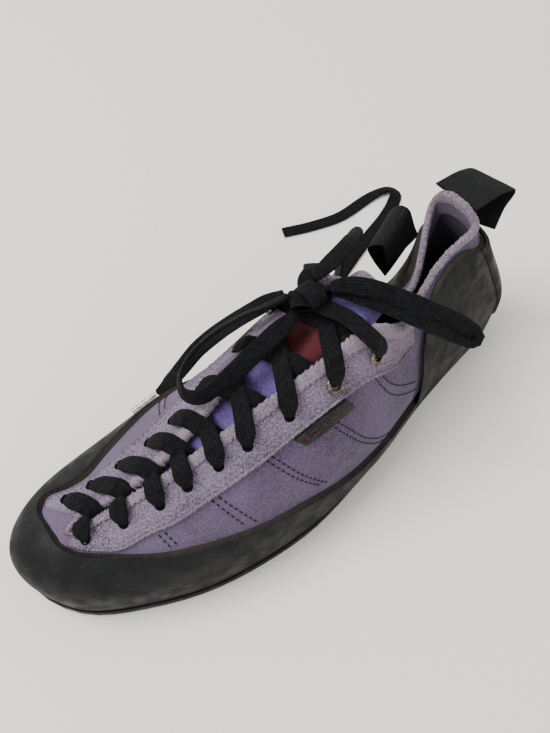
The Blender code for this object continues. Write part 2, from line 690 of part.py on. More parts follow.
def make_lace_bar(name, eyelet, lip_at, over, look):
    """The strand from an upper eyelet over the facing's edge up to the knot."""
    place, share = eyelet
    start = shifted(np.array(place), np.array(share), np.array(LACE_LIFT))
    lip = shifted(np.array(lip_at), np.array(0.985), np.array(LACE_LIFT + 4 * RIM_LIFT))
    rows = [start, (start + lip) / 2 + UP * RIM_LIFT, lip, *[np.array(point) * MM for point in over]]
    route = smooth_route(rows, 0.004)
    count = len(route)
    level = np.clip(np.linspace(0, 1.6, count), 0, 1)[:, None]  # it comes to lie level over the tongue
    normals = skin_normal(np.array(place), np.array(0.95)) * (1 - level) + UP * level
    sides = np.cross(normals, np.gradient(route, axis=0))
    widths = LACE_WIDTH * (0.55 + 0.45 * np.clip(np.arange(count) / 2, 0, 1))
    return sweep(name, route, sides, widths, [LACE] * count, look)


def make_eyelet(name, place, upper, facing, look):
    """A metal grommet in the facing, and its hole through facing and upper."""
    u, t = np.array(place[0]), np.array(place[1])
    point, normal = Vector(skin(u, t)), Vector(skin_normal(u, t))
    turn = normal.to_track_quat("Z", "Y").to_matrix().to_4x4()
    cutter_mesh = bmesh.new()
    bmesh.ops.create_cone(
        cutter_mesh,
        cap_ends=True,
        segments=12,
        radius1=EYELET_HOLE + 0.0011,
        radius2=EYELET_HOLE + 0.0011,
        depth=0.016,
    )
    cutter_mesh.transform(turn)
    bmesh.ops.translate(cutter_mesh, verts=cutter_mesh.verts, vec=point)
    cutter = finish("eyelet_cutter", cutter_mesh, look)
    combine(upper, cutter, "DIFFERENCE")
    combine(facing, cutter, "DIFFERENCE")
    bpy.data.objects.remove(cutter, do_unlink=True)
    top = EYELET_TOP
    profile = [
        (EYELET_HOLE, -SUEDE),
        (EYELET_HOLE + 0.0006, -SUEDE),
        (EYELET_HOLE + 0.0006, top),
        (EYELET_RIM, top),
        (EYELET_RIM - 0.0004, top + 0.0006),
        (EYELET_HOLE, top + 0.0006),
    ]
    bm = bmesh.new()
    ring = [bm.verts.new((r, 0, z)) for r, z in profile]
    edges = [bm.edges.new((ring[k], ring[(k + 1) % len(ring)])) for k in range(len(ring))]
    bmesh.ops.spin(
        bm, geom=ring + edges, cent=(0, 0, 0), axis=(0, 0, 1), angle=math.tau, steps=12, use_merge=True
    )
    bmesh.ops.remove_doubles(bm, verts=bm.verts, dist=1e-5)
    bm.transform(turn)
    bmesh.ops.translate(bm, verts=bm.verts, vec=point)
    return finish(name, bm, look)


# The pull loops: middle line in mm, from the upper to the lower end, and the direction of their width
# at the fold
LOOP_LIFT = RAND + CURVE_GAP + 2 * GAP + WEBBING / 2
MEDIAL_LOOP = [(19, -23, 77), (22, -28.5, 72), (20, -26.5, 65)]
MEDIAL_LOOP_SIDE = (0.90, 0.38, -0.22)
BACK_LOOP = [(-22, -10.5, 91), (-31, -11, 86.5), (-24.5, -10, 80)]
BACK_LOOP_SIDE = (-0.22, 0.97, 0.0)


def make_pull_loop(name, upper_end, middle, lower_end, fold_side, lifts, look):
    ends = [
        shifted(np.array(u), np.array(t), np.array(lift)) for (u, t), lift in zip((upper_end, lower_end), lifts)
    ]
    rows = [ends[0], *[np.array(p) * MM for p in middle], ends[1]]
    route = smooth_route(rows, 0.004)
    share = np.linspace(0, 1, len(route))[:, None]
    walls = []
    for u, t in (upper_end, lower_end):
        wall = skin(np.array(u - 0.4), np.array(t)) - skin(np.array(u + 0.4), np.array(t))
        walls.append(wall / np.linalg.norm(wall) * np.sign(wall @ fold_side))
    fold = np.sin(share * math.pi)
    sides = (walls[0] * (1 - share) + walls[1] * share) * (1 - fold) + np.array(fold_side) * fold
    count = len(route)
    return sweep(name, route, sides, [WEBBING_WIDTH] * count, [WEBBING] * count, look)


SUEDE_LILAC = ("lilac_suede", (0.21, 0.15, 0.33), 0.95)
FACING_LILAC = ("facing_suede", (0.27, 0.21, 0.36), 0.95)
RUBBER = ("rubber", (0.042, 0.047, 0.047), 0.6)
HEEL_RUBBER = ("heel_rubber", (0.055, 0.063, 0.058), 0.55)
TONGUE_VIOLET = ("tongue_violet", (0.14, 0.10, 0.45), 0.9)


def build():
    remove_all()
    suede, facing, rubber_look, heel_look, violet = [
        material(*look) for look in (SUEDE_LILAC, FACING_LILAC, RUBBER, HEEL_RUBBER, TONGUE_VIOLET)
    ]
    lace = material("lace", (0.018, 0.022, 0.022), 0.85)
    webbing = material("webbing", (0.02, 0.022, 0.022), 0.8)
    metal = material("eyelet_metal", (0.10, 0.09, 0.08), 0.4, 1.0)
    make_outsole(rubber_look)
    upper = make_upper(suede)
    make_toe_rand(rubber_look)
    make_heel_rand(heel_look)
    make_heel_strip(heel_look)
    lateral = make_facing("lateral_facing", 4.15, 11.25, lateral_seam, facing)
    medial = make_facing("medial_facing", 12.95, 19.85, medial_seam, facing)
    make_insole(material("insole", (0.2, 0.18, 0.16), 0.9))
    make_tongue(violet)
    make_tongue_label(material("label_red", (0.20, 0.012, 0.016), 0.8))
    make_tag(material("woven_tag", (0.05, 0.055, 0.05), 0.8))
    for row in range(METAL_EYELETS):
        make_eyelet("eyelet_lateral_%d" % (row + 1), EYELETS_LATERAL[row], upper, lateral, metal)
        make_eyelet("eyelet_medial_%d" % (row + 1), EYELETS_MEDIAL[row], upper, medial, metal)
    for row in range(1, len(EYELETS_LATERAL)):
        make_crossing(row, lace)
    make_lace_bar("lace_bar_lateral", EYELETS_LATERAL[0], 5.8, [(75.5, 17.5, 93.4), (80.5, 9, 92.9)], lace)
    make_lace_bar("lace_bar_medial", EYELETS_MEDIAL[0], 18.0, [(76, -10.8, 94.4), (80.5, -8.3, 94.4)], lace)
    make_knot(lace)
    make_cord("lace_loop_toe", LEFT_LOOP, lace)
    make_cord("lace_loop_lateral", RIGHT_LOOP, lace)
    make_cord("lace_end_toe", END_TOE, lace)
    make_cord("lace_end_heel", END_HEEL, lace)
    rod("lace_tip_toe", *TIP_TOE, 0.0016, material("clear_tip", (0.7, 0.7, 0.68), 0.2))
    make_pull_loop(
        "pull_loop_medial",
        (21.5, 0.84),
        MEDIAL_LOOP,
        (21.5, 0.66),
        MEDIAL_LOOP_SIDE,
        (LOOP_LIFT + 0.0026,) * 2,
        webbing,
    )
    make_pull_loop(
        "pull_loop_back",
        (0.0, 0.95),
        BACK_LOOP,
        (0.0, 0.70),
        BACK_LOOP_SIDE,
        (LOOP_LIFT - RAND, LOOP_LIFT + STRIP + GAP),
        webbing,
    )


build()
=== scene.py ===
# %% [markdown]
# # A climbing shoe, dressed in Blender
# The solids of this left shoe are already packed. Here they get their looks: napped suede, scuffed rubber,
# flat ribbed laces and webbing.

# %% Load the frame
import math
from collections import namedtuple

import bmesh
import bpy
import numpy as np
from mathutils import Matrix, Vector


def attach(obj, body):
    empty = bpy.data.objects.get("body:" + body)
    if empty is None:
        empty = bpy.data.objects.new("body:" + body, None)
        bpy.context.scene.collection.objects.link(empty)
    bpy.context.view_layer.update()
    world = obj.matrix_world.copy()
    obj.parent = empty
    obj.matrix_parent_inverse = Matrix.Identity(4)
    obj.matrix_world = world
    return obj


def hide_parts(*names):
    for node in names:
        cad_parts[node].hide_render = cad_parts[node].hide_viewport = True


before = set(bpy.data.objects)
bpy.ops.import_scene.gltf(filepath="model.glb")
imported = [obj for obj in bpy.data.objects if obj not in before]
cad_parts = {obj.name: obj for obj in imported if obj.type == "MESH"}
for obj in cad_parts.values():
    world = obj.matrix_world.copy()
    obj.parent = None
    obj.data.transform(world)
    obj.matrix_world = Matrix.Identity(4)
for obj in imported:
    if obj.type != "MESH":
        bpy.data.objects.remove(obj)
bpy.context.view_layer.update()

# %% [markdown]
# ## Camera, floor and light
# The camera looks down on the shoe from its outer side, as in the reference. Its direction is given as the
# three axes of its own frame, which avoids any guess about rotation order. Two square softboxes and a pale
# world give the even light of a studio, and the floor is plain.

# %% Camera
camera = bpy.data.objects.new("camera", bpy.data.cameras.new("camera"))
bpy.context.collection.objects.link(camera)
CAMERA_PLACE = Vector((0.19502, 0.14807, 0.31443))
SENSOR = 36  # mm, over the 733 rows of the picture
FOCAL_ROWS = 700  # the focal length, in rows of the picture
BACK = Vector((0.2957, 0.4815, 0.8251)).normalized()
RIGHT = Vector((-0.8201, 0.5710, -0.0393)).normalized()
RIGHT = (RIGHT - BACK * RIGHT.dot(BACK)).normalized()
turned = Matrix((RIGHT, BACK.cross(RIGHT), BACK)).transposed().to_4x4()
camera.matrix_world = Matrix.Translation(CAMERA_PLACE) @ turned
camera.data.lens = FOCAL_ROWS * SENSOR / 733
camera.data.sensor_width = SENSOR
camera.data.clip_start = 0.01
bpy.context.scene.camera = camera
print("camera at", tuple(round(c, 3) for c in camera.location))


# %% Floor
def new_object(name, bm, look, smooth=True):
    """An object of a bmesh, at the origin, with one material."""
    bmesh.ops.recalc_face_normals(bm, faces=bm.faces)
    mesh = bpy.data.meshes.new(name)
    bm.to_mesh(mesh)
    bm.free()
    mesh.materials.append(look)
    if smooth:
        mesh.shade_smooth()
        mesh.set_sharp_from_angle(angle=math.radians(50))
    thing = bpy.data.objects.new(name, mesh)
    bpy.context.collection.objects.link(thing)
    return thing


def new_look(name, colour, roughness, metallic=0.0, sheen=0.0, coat=0.0, specular=0.5):
    """A material and its shader, with the values that are the same all over set on the shader itself."""
    look = bpy.data.materials.new(name)
    look.use_nodes = True
    shader = look.node_tree.nodes["Principled BSDF"]
    shader.inputs["Base Color"].default_value = (*colour, 1)
    shader.inputs["Roughness"].default_value = roughness
    shader.inputs["Metallic"].default_value = metallic
    shader.inputs["Sheen Weight"].default_value = sheen
    shader.inputs["Sheen Roughness"].default_value = 0.5
    shader.inputs["Coat Weight"].default_value = coat
    shader.inputs["Specular IOR Level"].default_value = specular
    look.diffuse_color = (*colour, 1)
    return look, shader


floor_mesh = bmesh.new()
bmesh.ops.create_grid(floor_mesh, x_segments=1, y_segments=1, size=3)
floor_cream, _ = new_look("floor_cream", (0.90, 0.872, 0.82), 0.75)
floor = new_object("floor", floor_mesh, floor_cream, smooth=False)


# %% Lights
SHOE_MIDDLE = Vector((0.1, 0, 0.03))


def softbox(name, place, size, power, colour):
    """A square light that faces the middle of the shoe."""
    light = bpy.data.lights.new(name, "AREA")
    light.shape, light.size, light.energy, light.color = "SQUARE", size, power, colour
    thing = bpy.data.objects.new(name, light)
    facing = (Vector(place) - SHOE_MIDDLE).to_track_quat("Z", "Y").to_matrix().to_4x4()
    thing.matrix_world = Matrix.Translation(place) @ facing
    bpy.context.collection.objects.link(thing)


softbox("key", (0.9, -0.5, 1.5), 1.0, 36, (1.0, 0.98, 0.945))
softbox("fill", (-0.9, 1.1, 1.1), 1.2, 4, (0.96, 0.98, 1.0))
world = bpy.data.worlds.new("studio")
world.use_nodes = True
background = world.node_tree.nodes["Background"]
background.inputs["Color"].default_value = (1.0, 0.985, 0.965, 1)
background.inputs["Strength"].default_value = 0.95
bpy.context.scene.world = world

# %% [markdown]
# ## The form of the shoe
# Suede, rubber and overlays all follow one curved wall. It is a function of two numbers: the station `u`,
# which runs once round the shoe from the back of the heel over the outer side and the toe, and the share
# `t` of the wall's height. The table is the one that the solids were made from, so a panel that is laid
# on this wall fits them everywhere.

# %% Sizes and sections
LENGTH = 0.273  # heel to toe, over the rubber
BALL_WIDTH = 0.092  # the width that the shares of the sections refer to; the ball is 0.96 of it
INSTEP_HEIGHT = 0.090  # floor to the upper end of the throat
HEEL_REST = 0.032  # heel's back to the middle of its flat spot
SOLE = 0.0045  # thickness of the outsole
ARCH_LIFT = 0.006  # how far the sole rises off the floor under the arch
TOE_SPRING = 0.0045  # how far it rises at the toe's tip
SUEDE = 0.0020  # wall of the upper
RAND = 0.0020  # rubber of the rands
FACING = 0.0013  # overlay along the throat
STRIP = 0.0016  # strip up the heel's back, over the heel rand
TUCK = 0.0050  # how far the upper's lower edge lies inside its widest line
GAP = 0.0003  # between pieces that touch
CURVE_GAP = 0.0006  # under the overlays, whose facets follow the upper's curve
TONGUE = 0.0022  # thickness
LABEL = 0.0008  # thickness of the tongue's label and of the side tag
WEBBING_WIDTH = 0.024  # band of the pull loops
WEBBING = 0.0016  # its thickness
LACE_WIDTH = 0.0080  # the lace is flat
LACE = 0.0018  # its thickness

Section = namedtuple(
    "Section",
    "name lat_along lat_out med_along med_out belly"
    " lat_top_along lat_top_out lat_top_rise med_top_along med_top_out med_top_rise full lean",
)
SECTION_TABLE = [
    ("heel_back", 0.000, 0.000, 0.000, 0.000, 0.22, 0.116, -0.087, 1.078, 0.116, -0.087, 1.078, 0.22, 4),
    ("heel_turn", 0.021, 0.158, 0.022, -0.168, 0.22, 0.104, 0.060, 1.000, 0.126, -0.179, 1.000, 0.22, 6),
    ("heel_side", 0.114, 0.246, 0.106, -0.261, 0.21, 0.139, 0.103, 0.961, 0.148, -0.147, 0.878, 0.24, 16),
    ("ankle_back", 0.198, 0.304, 0.190, -0.280, 0.20, 0.201, 0.117, 0.889, 0.189, -0.038, 0.733, 0.26, 26),
    ("ankle", 0.280, 0.378, 0.271, -0.283, 0.18, 0.269, 0.196, 0.783, 0.240, 0.027, 0.678, 0.28, 30),
    ("quarter", 0.377, 0.480, 0.357, -0.293, 0.16, 0.328, 0.272, 0.861, 0.304, -0.038, 0.761, 0.30, 30),
    ("waist", 0.471, 0.539, 0.451, -0.322, 0.15, 0.392, 0.270, 0.989, 0.381, -0.098, 0.972, 0.33, 40),
    ("instep", 0.570, 0.568, 0.553, -0.366, 0.15, 0.486, 0.251, 0.916, 0.473, -0.054, 0.911, 0.36, 50),
    ("ball", 0.670, 0.563, 0.661, -0.394, 0.15, 0.593, 0.221, 0.800, 0.586, 0.020, 0.807, 0.36, 54),
    ("tread", 0.773, 0.513, 0.764, -0.380, 0.15, 0.700, 0.199, 0.692, 0.696, 0.102, 0.700, 0.36, 58),
    ("little_toe", 0.874, 0.400, 0.859, -0.350, 0.15, 0.802, 0.148, 0.573, 0.799, 0.104, 0.578, 0.38, 62),
    ("toe_turn", 0.956, 0.242, 0.941, -0.265, 0.15, 0.874, 0.101, 0.484, 0.868, 0.050, 0.491, 0.42, 72),
    ("toe_tip", 0.996, -0.049, 0.996, -0.049, 0.15, 0.897, 0.067, 0.458, 0.897, 0.067, 0.458, 0.46, 78),
]
SECTIONS = [Section(*row) for row in SECTION_TABLE]
LAST = len(SECTIONS) - 1  # the toe tip's place in the ring of stations
STATIONS = 2 * LAST


# %% Smooth curves round the shoe
def cubic(a, b, da, db, f):
    """The cubic from a to b, at share f of the way, with the slopes da and db at its ends."""
    return (
        a * (1 - 3 * f**2 + 2 * f**3)
        + b * (3 * f**2 - 2 * f**3)
        + da * (f - 2 * f**2 + f**3)
        + db * (f**3 - f**2)
    )


def periodic_spline(values):
    """A smooth closed curve through values, one for each station, as a function of the station."""
    values = np.asarray(values, float)
    count = len(values)
    system = 4 * np.eye(count) + np.roll(np.eye(count), 1, 1) + np.roll(np.eye(count), -1, 1)
    bend = np.linalg.solve(system, 3 * (np.roll(values, -1, 0) - np.roll(values, 1, 0)))

    def curve(u):
        u = np.asarray(u, float) % count
        i = np.floor(u).astype(int)
        f = u - i
        j = (i + 1) % count
        f = f.reshape(f.shape + (1,) * (values.ndim - 1))
        return cubic(values[i], values[j], bend[i], bend[j], f)

    return curve


def around(lateral, medial):
    """The stations in order: heel's back, lateral side, toe's tip and medial side back to the heel."""
    return lateral + medial[-2:0:-1]


def plan(along, out):
    """A place seen from above, in metres, from shares of the length and of the width."""
    return (along * LENGTH - HEEL_REST, out * BALL_WIDTH)


outline = periodic_spline(
    around(
        [plan(s.lat_along, s.lat_out) for s in SECTIONS],
        [plan(s.med_along, s.med_out) for s in SECTIONS],
    )
)
top_edge = periodic_spline(
    around(
        [(*plan(s.lat_top_along, s.lat_top_out), s.lat_top_rise * INSTEP_HEIGHT) for s in SECTIONS],
        [(*plan(s.med_top_along, s.med_top_out), s.med_top_rise * INSTEP_HEIGHT) for s in SECTIONS],
    )
)
belly_height = periodic_spline(around(*[[s.belly * INSTEP_HEIGHT for s in SECTIONS]] * 2))
fullness = periodic_spline(around(*[[s.full for s in SECTIONS]] * 2))
lean_angle = periodic_spline(around(*[[math.radians(s.lean) for s in SECTIONS]] * 2))


def smooth_step(x, low, high):
    """0 below low and 1 above high, with soft ends."""
    f = np.clip((x - low) / (high - low), 0, 1)
    return f * f * (3 - 2 * f)


# %% The wall itself
def under_sole(x):
    """Height of the sole's underside: flat at heel and forefoot, lifted at the arch and at the toe."""
    share = (np.asarray(x, float) + HEEL_REST) / LENGTH
    arch = smooth_step(share, 0.20, 0.36) * (1 - smooth_step(share, 0.42, 0.58))
    spring = smooth_step(share, 0.80, 1.08)
    return ARCH_LIFT * arch + TOE_SPRING * spring


def outward(u):
    """The outline's outward direction in plan."""
    step = 0.02
    d = outline(u + step) - outline(u - step)
    n = np.stack([-d[..., 1], d[..., 0]], -1)
    return n / np.linalg.norm(n, axis=-1, keepdims=True)


def bezier(a, b, c, d, f):
    """A curve from a to d that leaves towards b and arrives from c."""
    f = f[..., None]
    return a * (1 - f) ** 3 + 3 * b * f * (1 - f) ** 2 + 3 * c * f**2 * (1 - f) + d * f**3


UP = np.array([0.0, 0.0, 1.0])
BELLY_AT = 0.22  # share of the wall, from its lower to its upper edge, where it is widest


def skin(u, t):
    """A point of the upper's outer face: u is the station, t runs from the lower to the upper edge."""
    u, t = np.broadcast_arrays(np.asarray(u, float), np.asarray(t, float))
    rim = outline(u) - outward(u) * (RAND + CURVE_GAP)
    foot = rim - outward(u) * TUCK
    base = under_sole(foot[..., 0]) + SOLE + GAP
    low = np.concatenate([foot, base[..., None]], -1)
    widest = np.concatenate([rim, (base + belly_height(u))[..., None]], -1)
    top = top_edge(u)
    span = top - widest
    reach = np.linalg.norm(span, axis=-1, keepdims=True) * fullness(u)[..., None]
    inward = span * np.array([1, 1, 0])
    inward = inward / np.maximum(np.linalg.norm(inward, axis=-1, keepdims=True), 1e-9)
    lean = lean_angle(u)[..., None]
    arrive = UP * np.cos(lean) + inward * np.sin(lean)
    upper_part = bezier(
        widest,
        widest + UP * reach,
        top - arrive * reach,
        top,
        np.clip((t - BELLY_AT) / (1 - BELLY_AT), 0, 1),
    )
    out3 = np.concatenate([outward(u), np.zeros(u.shape + (1,))], -1)
    lower_part = bezier(
        low,
        low + out3 * TUCK * 0.6 + UP * 0.1 * belly_height(u)[..., None],
        widest - UP * 0.5 * belly_height(u)[..., None],
        widest,
        np.clip(t / BELLY_AT, 0, 1),
    )
    return np.where((t < BELLY_AT)[..., None], lower_part, upper_part)


def skin_normal(u, t):
    """The outward direction at a point of the upper's outer face."""
    du = skin(u + 0.02, t) - skin(u - 0.02, t)
    dt = skin(u, np.minimum(t + 0.01, 1)) - skin(u, np.maximum(t - 0.01, 0))
    n = np.cross(dt, du)
    return n / np.linalg.norm(n, axis=-1, keepdims=True)


def shifted(u, t, offset):
    """A point beside the upper's outer face, offset outwards along its normal."""
    return skin(u, t) + skin_normal(u, t) * np.asarray(offset)[..., None]


def seat(x):
    """Height on which the upper, the rands and the insole stand, just over the outsole."""
    return under_sole(x) + SOLE + GAP


# %% The rubber's outer face
def rubber(u, t):
    """A point of the rands' outer face: down to the sole it stays close to the outline."""
    above = shifted(u, t, RAND + CURVE_GAP + 0 * u)
    share = np.clip(t / BELLY_AT, 0, 1)
    rim = outline(u) - outward(u) * ((1 - share) ** 2 * 0.0012)[..., None]
    base = seat(rim[..., 0])
    below = np.concatenate([rim, (base + share * belly_height(u))[..., None]], -1)
    return np.where((t < BELLY_AT)[..., None], below, above)


# %% Lines on the wall
def through(pairs):
    """A smooth curve through (place, value) pairs."""
    xs, ys = np.array(pairs, float).T
    slope = np.gradient(ys, xs)

    def curve(x):
        x = np.clip(x, xs[0], xs[-1])
        i = np.clip(np.searchsorted(xs, x) - 1, 0, len(xs) - 2)
        h = xs[i + 1] - xs[i]
        return cubic(ys[i], ys[i + 1], slope[i] * h, slope[i + 1] * h, (x - xs[i]) / h)

    return curve


# Lines on the upper, as (station, share of the wall's height)
RAND_LINE = [
    (4.1, 0.16), (4.9, 0.185), (5.85, 0.235), (7.05, 0.365), (7.75, 0.405), (8.65, 0.485), (9.5, 0.57),
    (10.27, 0.695), (10.9, 0.79), (11.5, 0.88), (12.0, 0.905), (12.5, 0.82), (12.95, 0.64), (13.2, 0.60),
    (13.5, 0.66), (13.9, 0.685), (14.5, 0.62), (15.3, 0.535), (16.2, 0.44), (17.2, 0.33), (18.2, 0.23),
    (19.1, 0.18), (19.9, 0.16),
]  # fmt: skip
LATERAL_SEAM = [
    (4.15, 0.775), (5.4, 0.765), (6.25, 0.775), (7.25, 0.775), (7.75, 0.755), (8.2, 0.745), (8.7, 0.735),
    (9.2, 0.712), (9.6, 0.715), (10.05, 0.69), (10.4, 0.735), (10.9, 0.81), (11.25, 0.855),
]  # fmt: skip
MEDIAL_SEAM = [
    (12.95, 0.675), (13.2, 0.63), (13.5, 0.69), (13.9, 0.72), (14.5, 0.725), (15.3, 0.74), (16.2, 0.755),
    (17.2, 0.775), (18.0, 0.775), (19.0, 0.765), (19.85, 0.775),
]  # fmt: skip
HEEL_LINE = [(0.0, 0.80), (0.8, 0.815), (1.6, 0.86), (2.2, 0.935), (2.9, 0.935), (3.3, 0.90), (3.6, 0.82)]
HEEL_FRONT = [(0.0, 4.04), (0.16, 4.05), (0.4, 3.96), (0.7, 3.84), (0.82, 3.6)]
STRIP_EDGE = [(0.0, 1.0), (0.25, 1.06), (0.55, 1.24), (0.74, 1.4), (0.86, 1.62)]
rand_line, lateral_seam, medial_seam = through(RAND_LINE), through(LATERAL_SEAM), through(MEDIAL_SEAM)
heel_line, heel_front, strip_edge = through(HEEL_LINE), through(HEEL_FRONT), through(STRIP_EDGE)

EYELETS_LATERAL = [
    (5.77, 0.88), (6.60, 0.87), (7.37, 0.88), (8.05, 0.875), (8.52, 0.875), (9.01, 0.875), (9.43, 0.862),
    (10.01, 0.865), (10.76, 0.875),
]  # fmt: skip
EYELETS_MEDIAL = [
    (18.25, 0.87), (17.4, 0.86), (16.6, 0.855), (15.88, 0.85), (15.30, 0.85), (14.88, 0.83), (14.39, 0.80),
    (13.84, 0.79), (13.3, 0.77),
]  # fmt: skip
METAL_EYELETS = 2  # the upper pairs, the others are plain holes

# %% [markdown]
# ## Finishes
# Every finish here is worked out from noise in the object's own coordinates, in metres, so a grain of half
# a millimetre stays that size everywhere. Three things make a cloth or leather read as itself: slow
# differences of colour, a fine nap or weave in the bump, and a sheen that lifts the edges.

# %% Small pieces of a node tree
def coordinates(look, kind="Object"):
    """The coordinates that a finish reads, in metres."""
    node = look.node_tree.nodes.new("ShaderNodeTexCoord")
    return node.outputs[kind]


def grain(look, scale, detail=4.0, stretch=(1, 1, 1), kind="Object"):
    """Noise, as a number about 0.5; scale is in cells to the metre."""
    nodes, links = look.node_tree.nodes, look.node_tree.links
    mapping = nodes.new("ShaderNodeMapping")
    mapping.inputs["Scale"].default_value = stretch
    noise = nodes.new("ShaderNodeTexNoise")
    noise.inputs["Scale"].default_value = scale
    noise.inputs["Detail"].default_value = detail
    links.new(coordinates(look, kind), mapping.inputs["Vector"])
    links.new(mapping.outputs["Vector"], noise.inputs["Vector"])
    return noise.outputs["Fac"]


def between(look, value, low, high, out_low=0.0, out_high=1.0):
    """value, spread from low..high to out_low..out_high with soft ends."""
    node = look.node_tree.nodes.new("ShaderNodeMapRange")
    node.interpolation_type = "SMOOTHSTEP"
    for name, number in zip(("From Min", "From Max", "To Min", "To Max"), (low, high, out_low, out_high)):
        node.inputs[name].default_value = number
    look.node_tree.links.new(value, node.inputs["Value"])
    return node.outputs["Result"]


def blend(look, share, one, two):
    """Colour one where share is 0 and two where it is 1; each is a colour or a socket."""
    node = look.node_tree.nodes.new("ShaderNodeMix")
    node.data_type = "RGBA"
    look.node_tree.links.new(share, node.inputs["Factor"])
    for socket, colour in ((node.inputs[6], one), (node.inputs[7], two)):
        if isinstance(colour, tuple):
            socket.default_value = (*colour, 1)
        else:
            look.node_tree.links.new(colour, socket)
    return node.outputs[2]


def math_node(look, operation, one, two):
    """A sum, product or sine; each input is a number or a socket."""
    node = look.node_tree.nodes.new("ShaderNodeMath")
    node.operation = operation
    for socket, value in zip(node.inputs, (one, two)):
        if isinstance(value, (int, float)):
            socket.default_value = value
        else:
            look.node_tree.links.new(value, socket)
    return node.outputs[0]


def part_of(look, kind, axis):
    """One coordinate: kind is Object or UV, axis 0, 1 or 2."""
    node = look.node_tree.nodes.new("ShaderNodeSeparateXYZ")
    look.node_tree.links.new(coordinates(look, kind), node.inputs[0])
    return node.outputs[axis]


def relief(look, shader, *layers):
    """Bumps on top of each other: each layer is a height from 0 to 1 and its depth in metres."""
    last = None
    for height, depth in layers:
        node = look.node_tree.nodes.new("ShaderNodeBump")
        node.inputs["Distance"].default_value = depth
        node.inputs["Strength"].default_value = 1.0
        look.node_tree.links.new(height, node.inputs["Height"])
        if last:
            look.node_tree.links.new(last, node.inputs["Normal"])
        last = node.outputs["Normal"]
    look.node_tree.links.new(last, shader.inputs["Normal"])


# %% [markdown]
# ### Suede
# Suede is the fleshy side of a hide. Its nap lies this way and that, so one hide shows cloudy lights and
# darks with almost no gloss. A slow noise gives the clouds, a stretched one the brushed streaks and a fine
# one the pale specks, and two more raise the nap. Painted light makes the quarter paler towards the toe.

# %% Suede
def suede(name, dark, mid, pale, nap=0.00028, painted_toe_light=0.0, speckle=0.42):
    look, shader = new_look(name, mid, 0.95, sheen=0.12, specular=0.15)
    clouds = between(look, grain(look, 45, 3), 0.32, 0.68)
    brushed = between(look, grain(look, 260, 5, (1, 1, 2.2)), 0.3, 0.7)
    specks = between(look, grain(look, 1500, 2), 0.38, 0.66)
    colour = blend(look, clouds, dark, mid)
    colour = blend(look, math_node(look, "MULTIPLY", brushed, 0.55), colour, mid)
    colour = blend(look, math_node(look, "MULTIPLY", specks, speckle), colour, pale)
    # painted light: the suede is blended paler towards the toe, where more light falls on the quarter
    if painted_toe_light:
        towards_toe = between(look, part_of(look, "Object", 0), 0.09, 0.21, 0.0, painted_toe_light)
        colour = blend(look, towards_toe, colour, pale)
    look.node_tree.links.new(colour, shader.inputs["Base Color"])
    relief(look, shader, (grain(look, 1700, 3), nap), (grain(look, 190, 4), 0.0006))
    return look


# Each suede's dark, middle and pale colour
lilac = suede(
    "lilac_suede_napped", (0.034, 0.024, 0.050), (0.080, 0.058, 0.110), (0.19, 0.15, 0.235), painted_toe_light=0.34
)
facing_lilac = suede(
    "facing_suede_napped", (0.056, 0.042, 0.072), (0.140, 0.109, 0.172), (0.33, 0.28, 0.36),
    nap=0.0005, speckle=0.58,
)  # fmt: skip
edge_lilac = suede("cut_edge_suede", (0.095, 0.072, 0.112), (0.20, 0.16, 0.215), (0.44, 0.38, 0.43), nap=0.0007)
tongue_violet = suede("tongue_suede", (0.048, 0.031, 0.120), (0.100, 0.067, 0.225), (0.20, 0.155, 0.36))
# painted shade: the lining is made near black for the shade inside the shoe; rim_lining is the same suede,
# lighter at the rim where light reaches
lining = suede("lining_suede", (0.014, 0.011, 0.020), (0.028, 0.022, 0.040), (0.07, 0.056, 0.09))
rim_lining = suede("lining_suede_at_rim", (0.050, 0.037, 0.070), (0.105, 0.080, 0.140), (0.21, 0.17, 0.26))
print("suedes:", [look.name for look in (lilac, facing_lilac, edge_lilac, tongue_violet, lining, rim_lining)])


# %% [markdown]
# ### Climbing rubber
# The rubber is buffed before it is glued, so it starts out matte, and rock scuffs it further. Fine noise
# gives the buffed grain, sparse pale scratches the wear, and a brownish line of old cement shows along the
# upper edge. That edge is where the sheet's own `V` reaches 1.

# %% Rubber
def climbing_rubber(name, dark, pale, scuff, cement=True):
    look, shader = new_look(name, dark, 0.55, specular=0.11)
    clouds = between(look, grain(look, 90, 5), 0.3, 0.75)
    colour = blend(look, clouds, dark, pale)
    dust = between(look, grain(look, 700, 5, (1, 1, 0.4)), 0.58, 0.78, 0.0, 0.20)
    colour = blend(look, dust, colour, scuff)
    scratch = between(look, grain(look, 330, 6, (0.25, 1.6, 1)), 0.61, 0.70, 0.0, 0.22)
    colour = blend(look, scratch, colour, scuff)
    if cement:
        wobble = math_node(look, "MULTIPLY", grain(look, 300, 3), 0.05)
        height = math_node(look, "ADD", part_of(look, "UV", 1), wobble)
        line = between(look, height, 0.985, 1.02, 0.0, 0.22)
        colour = blend(look, line, colour, (0.085, 0.066, 0.050))
    look.node_tree.links.new(colour, shader.inputs["Base Color"])
    rough = between(look, grain(look, 120, 4), 0.3, 0.7, 0.45, 0.72)
    look.node_tree.links.new(rough, shader.inputs["Roughness"])
    relief(look, shader, (grain(look, 2200, 2), 0.00012), (grain(look, 160, 3), 0.00045))
    return look


# Each rubber's dark and pale colour, and that of its scuffs
toe_rubber = climbing_rubber(
    "toe_rubber", (0.0085, 0.0090, 0.0100), (0.0125, 0.0133, 0.0145), (0.036, 0.038, 0.041)
)
heel_rubber = climbing_rubber(
    "heel_rubber_green", (0.0065, 0.0072, 0.0070), (0.0105, 0.0115, 0.0110), (0.036, 0.037, 0.036)
)
sole_rubber = climbing_rubber(
    "sole_rubber", (0.008, 0.0085, 0.0085), (0.016, 0.0165, 0.016), (0.048, 0.046, 0.042), cement=False
)
print("rubbers:", [look.name for look in (toe_rubber, heel_rubber, sole_rubber)])

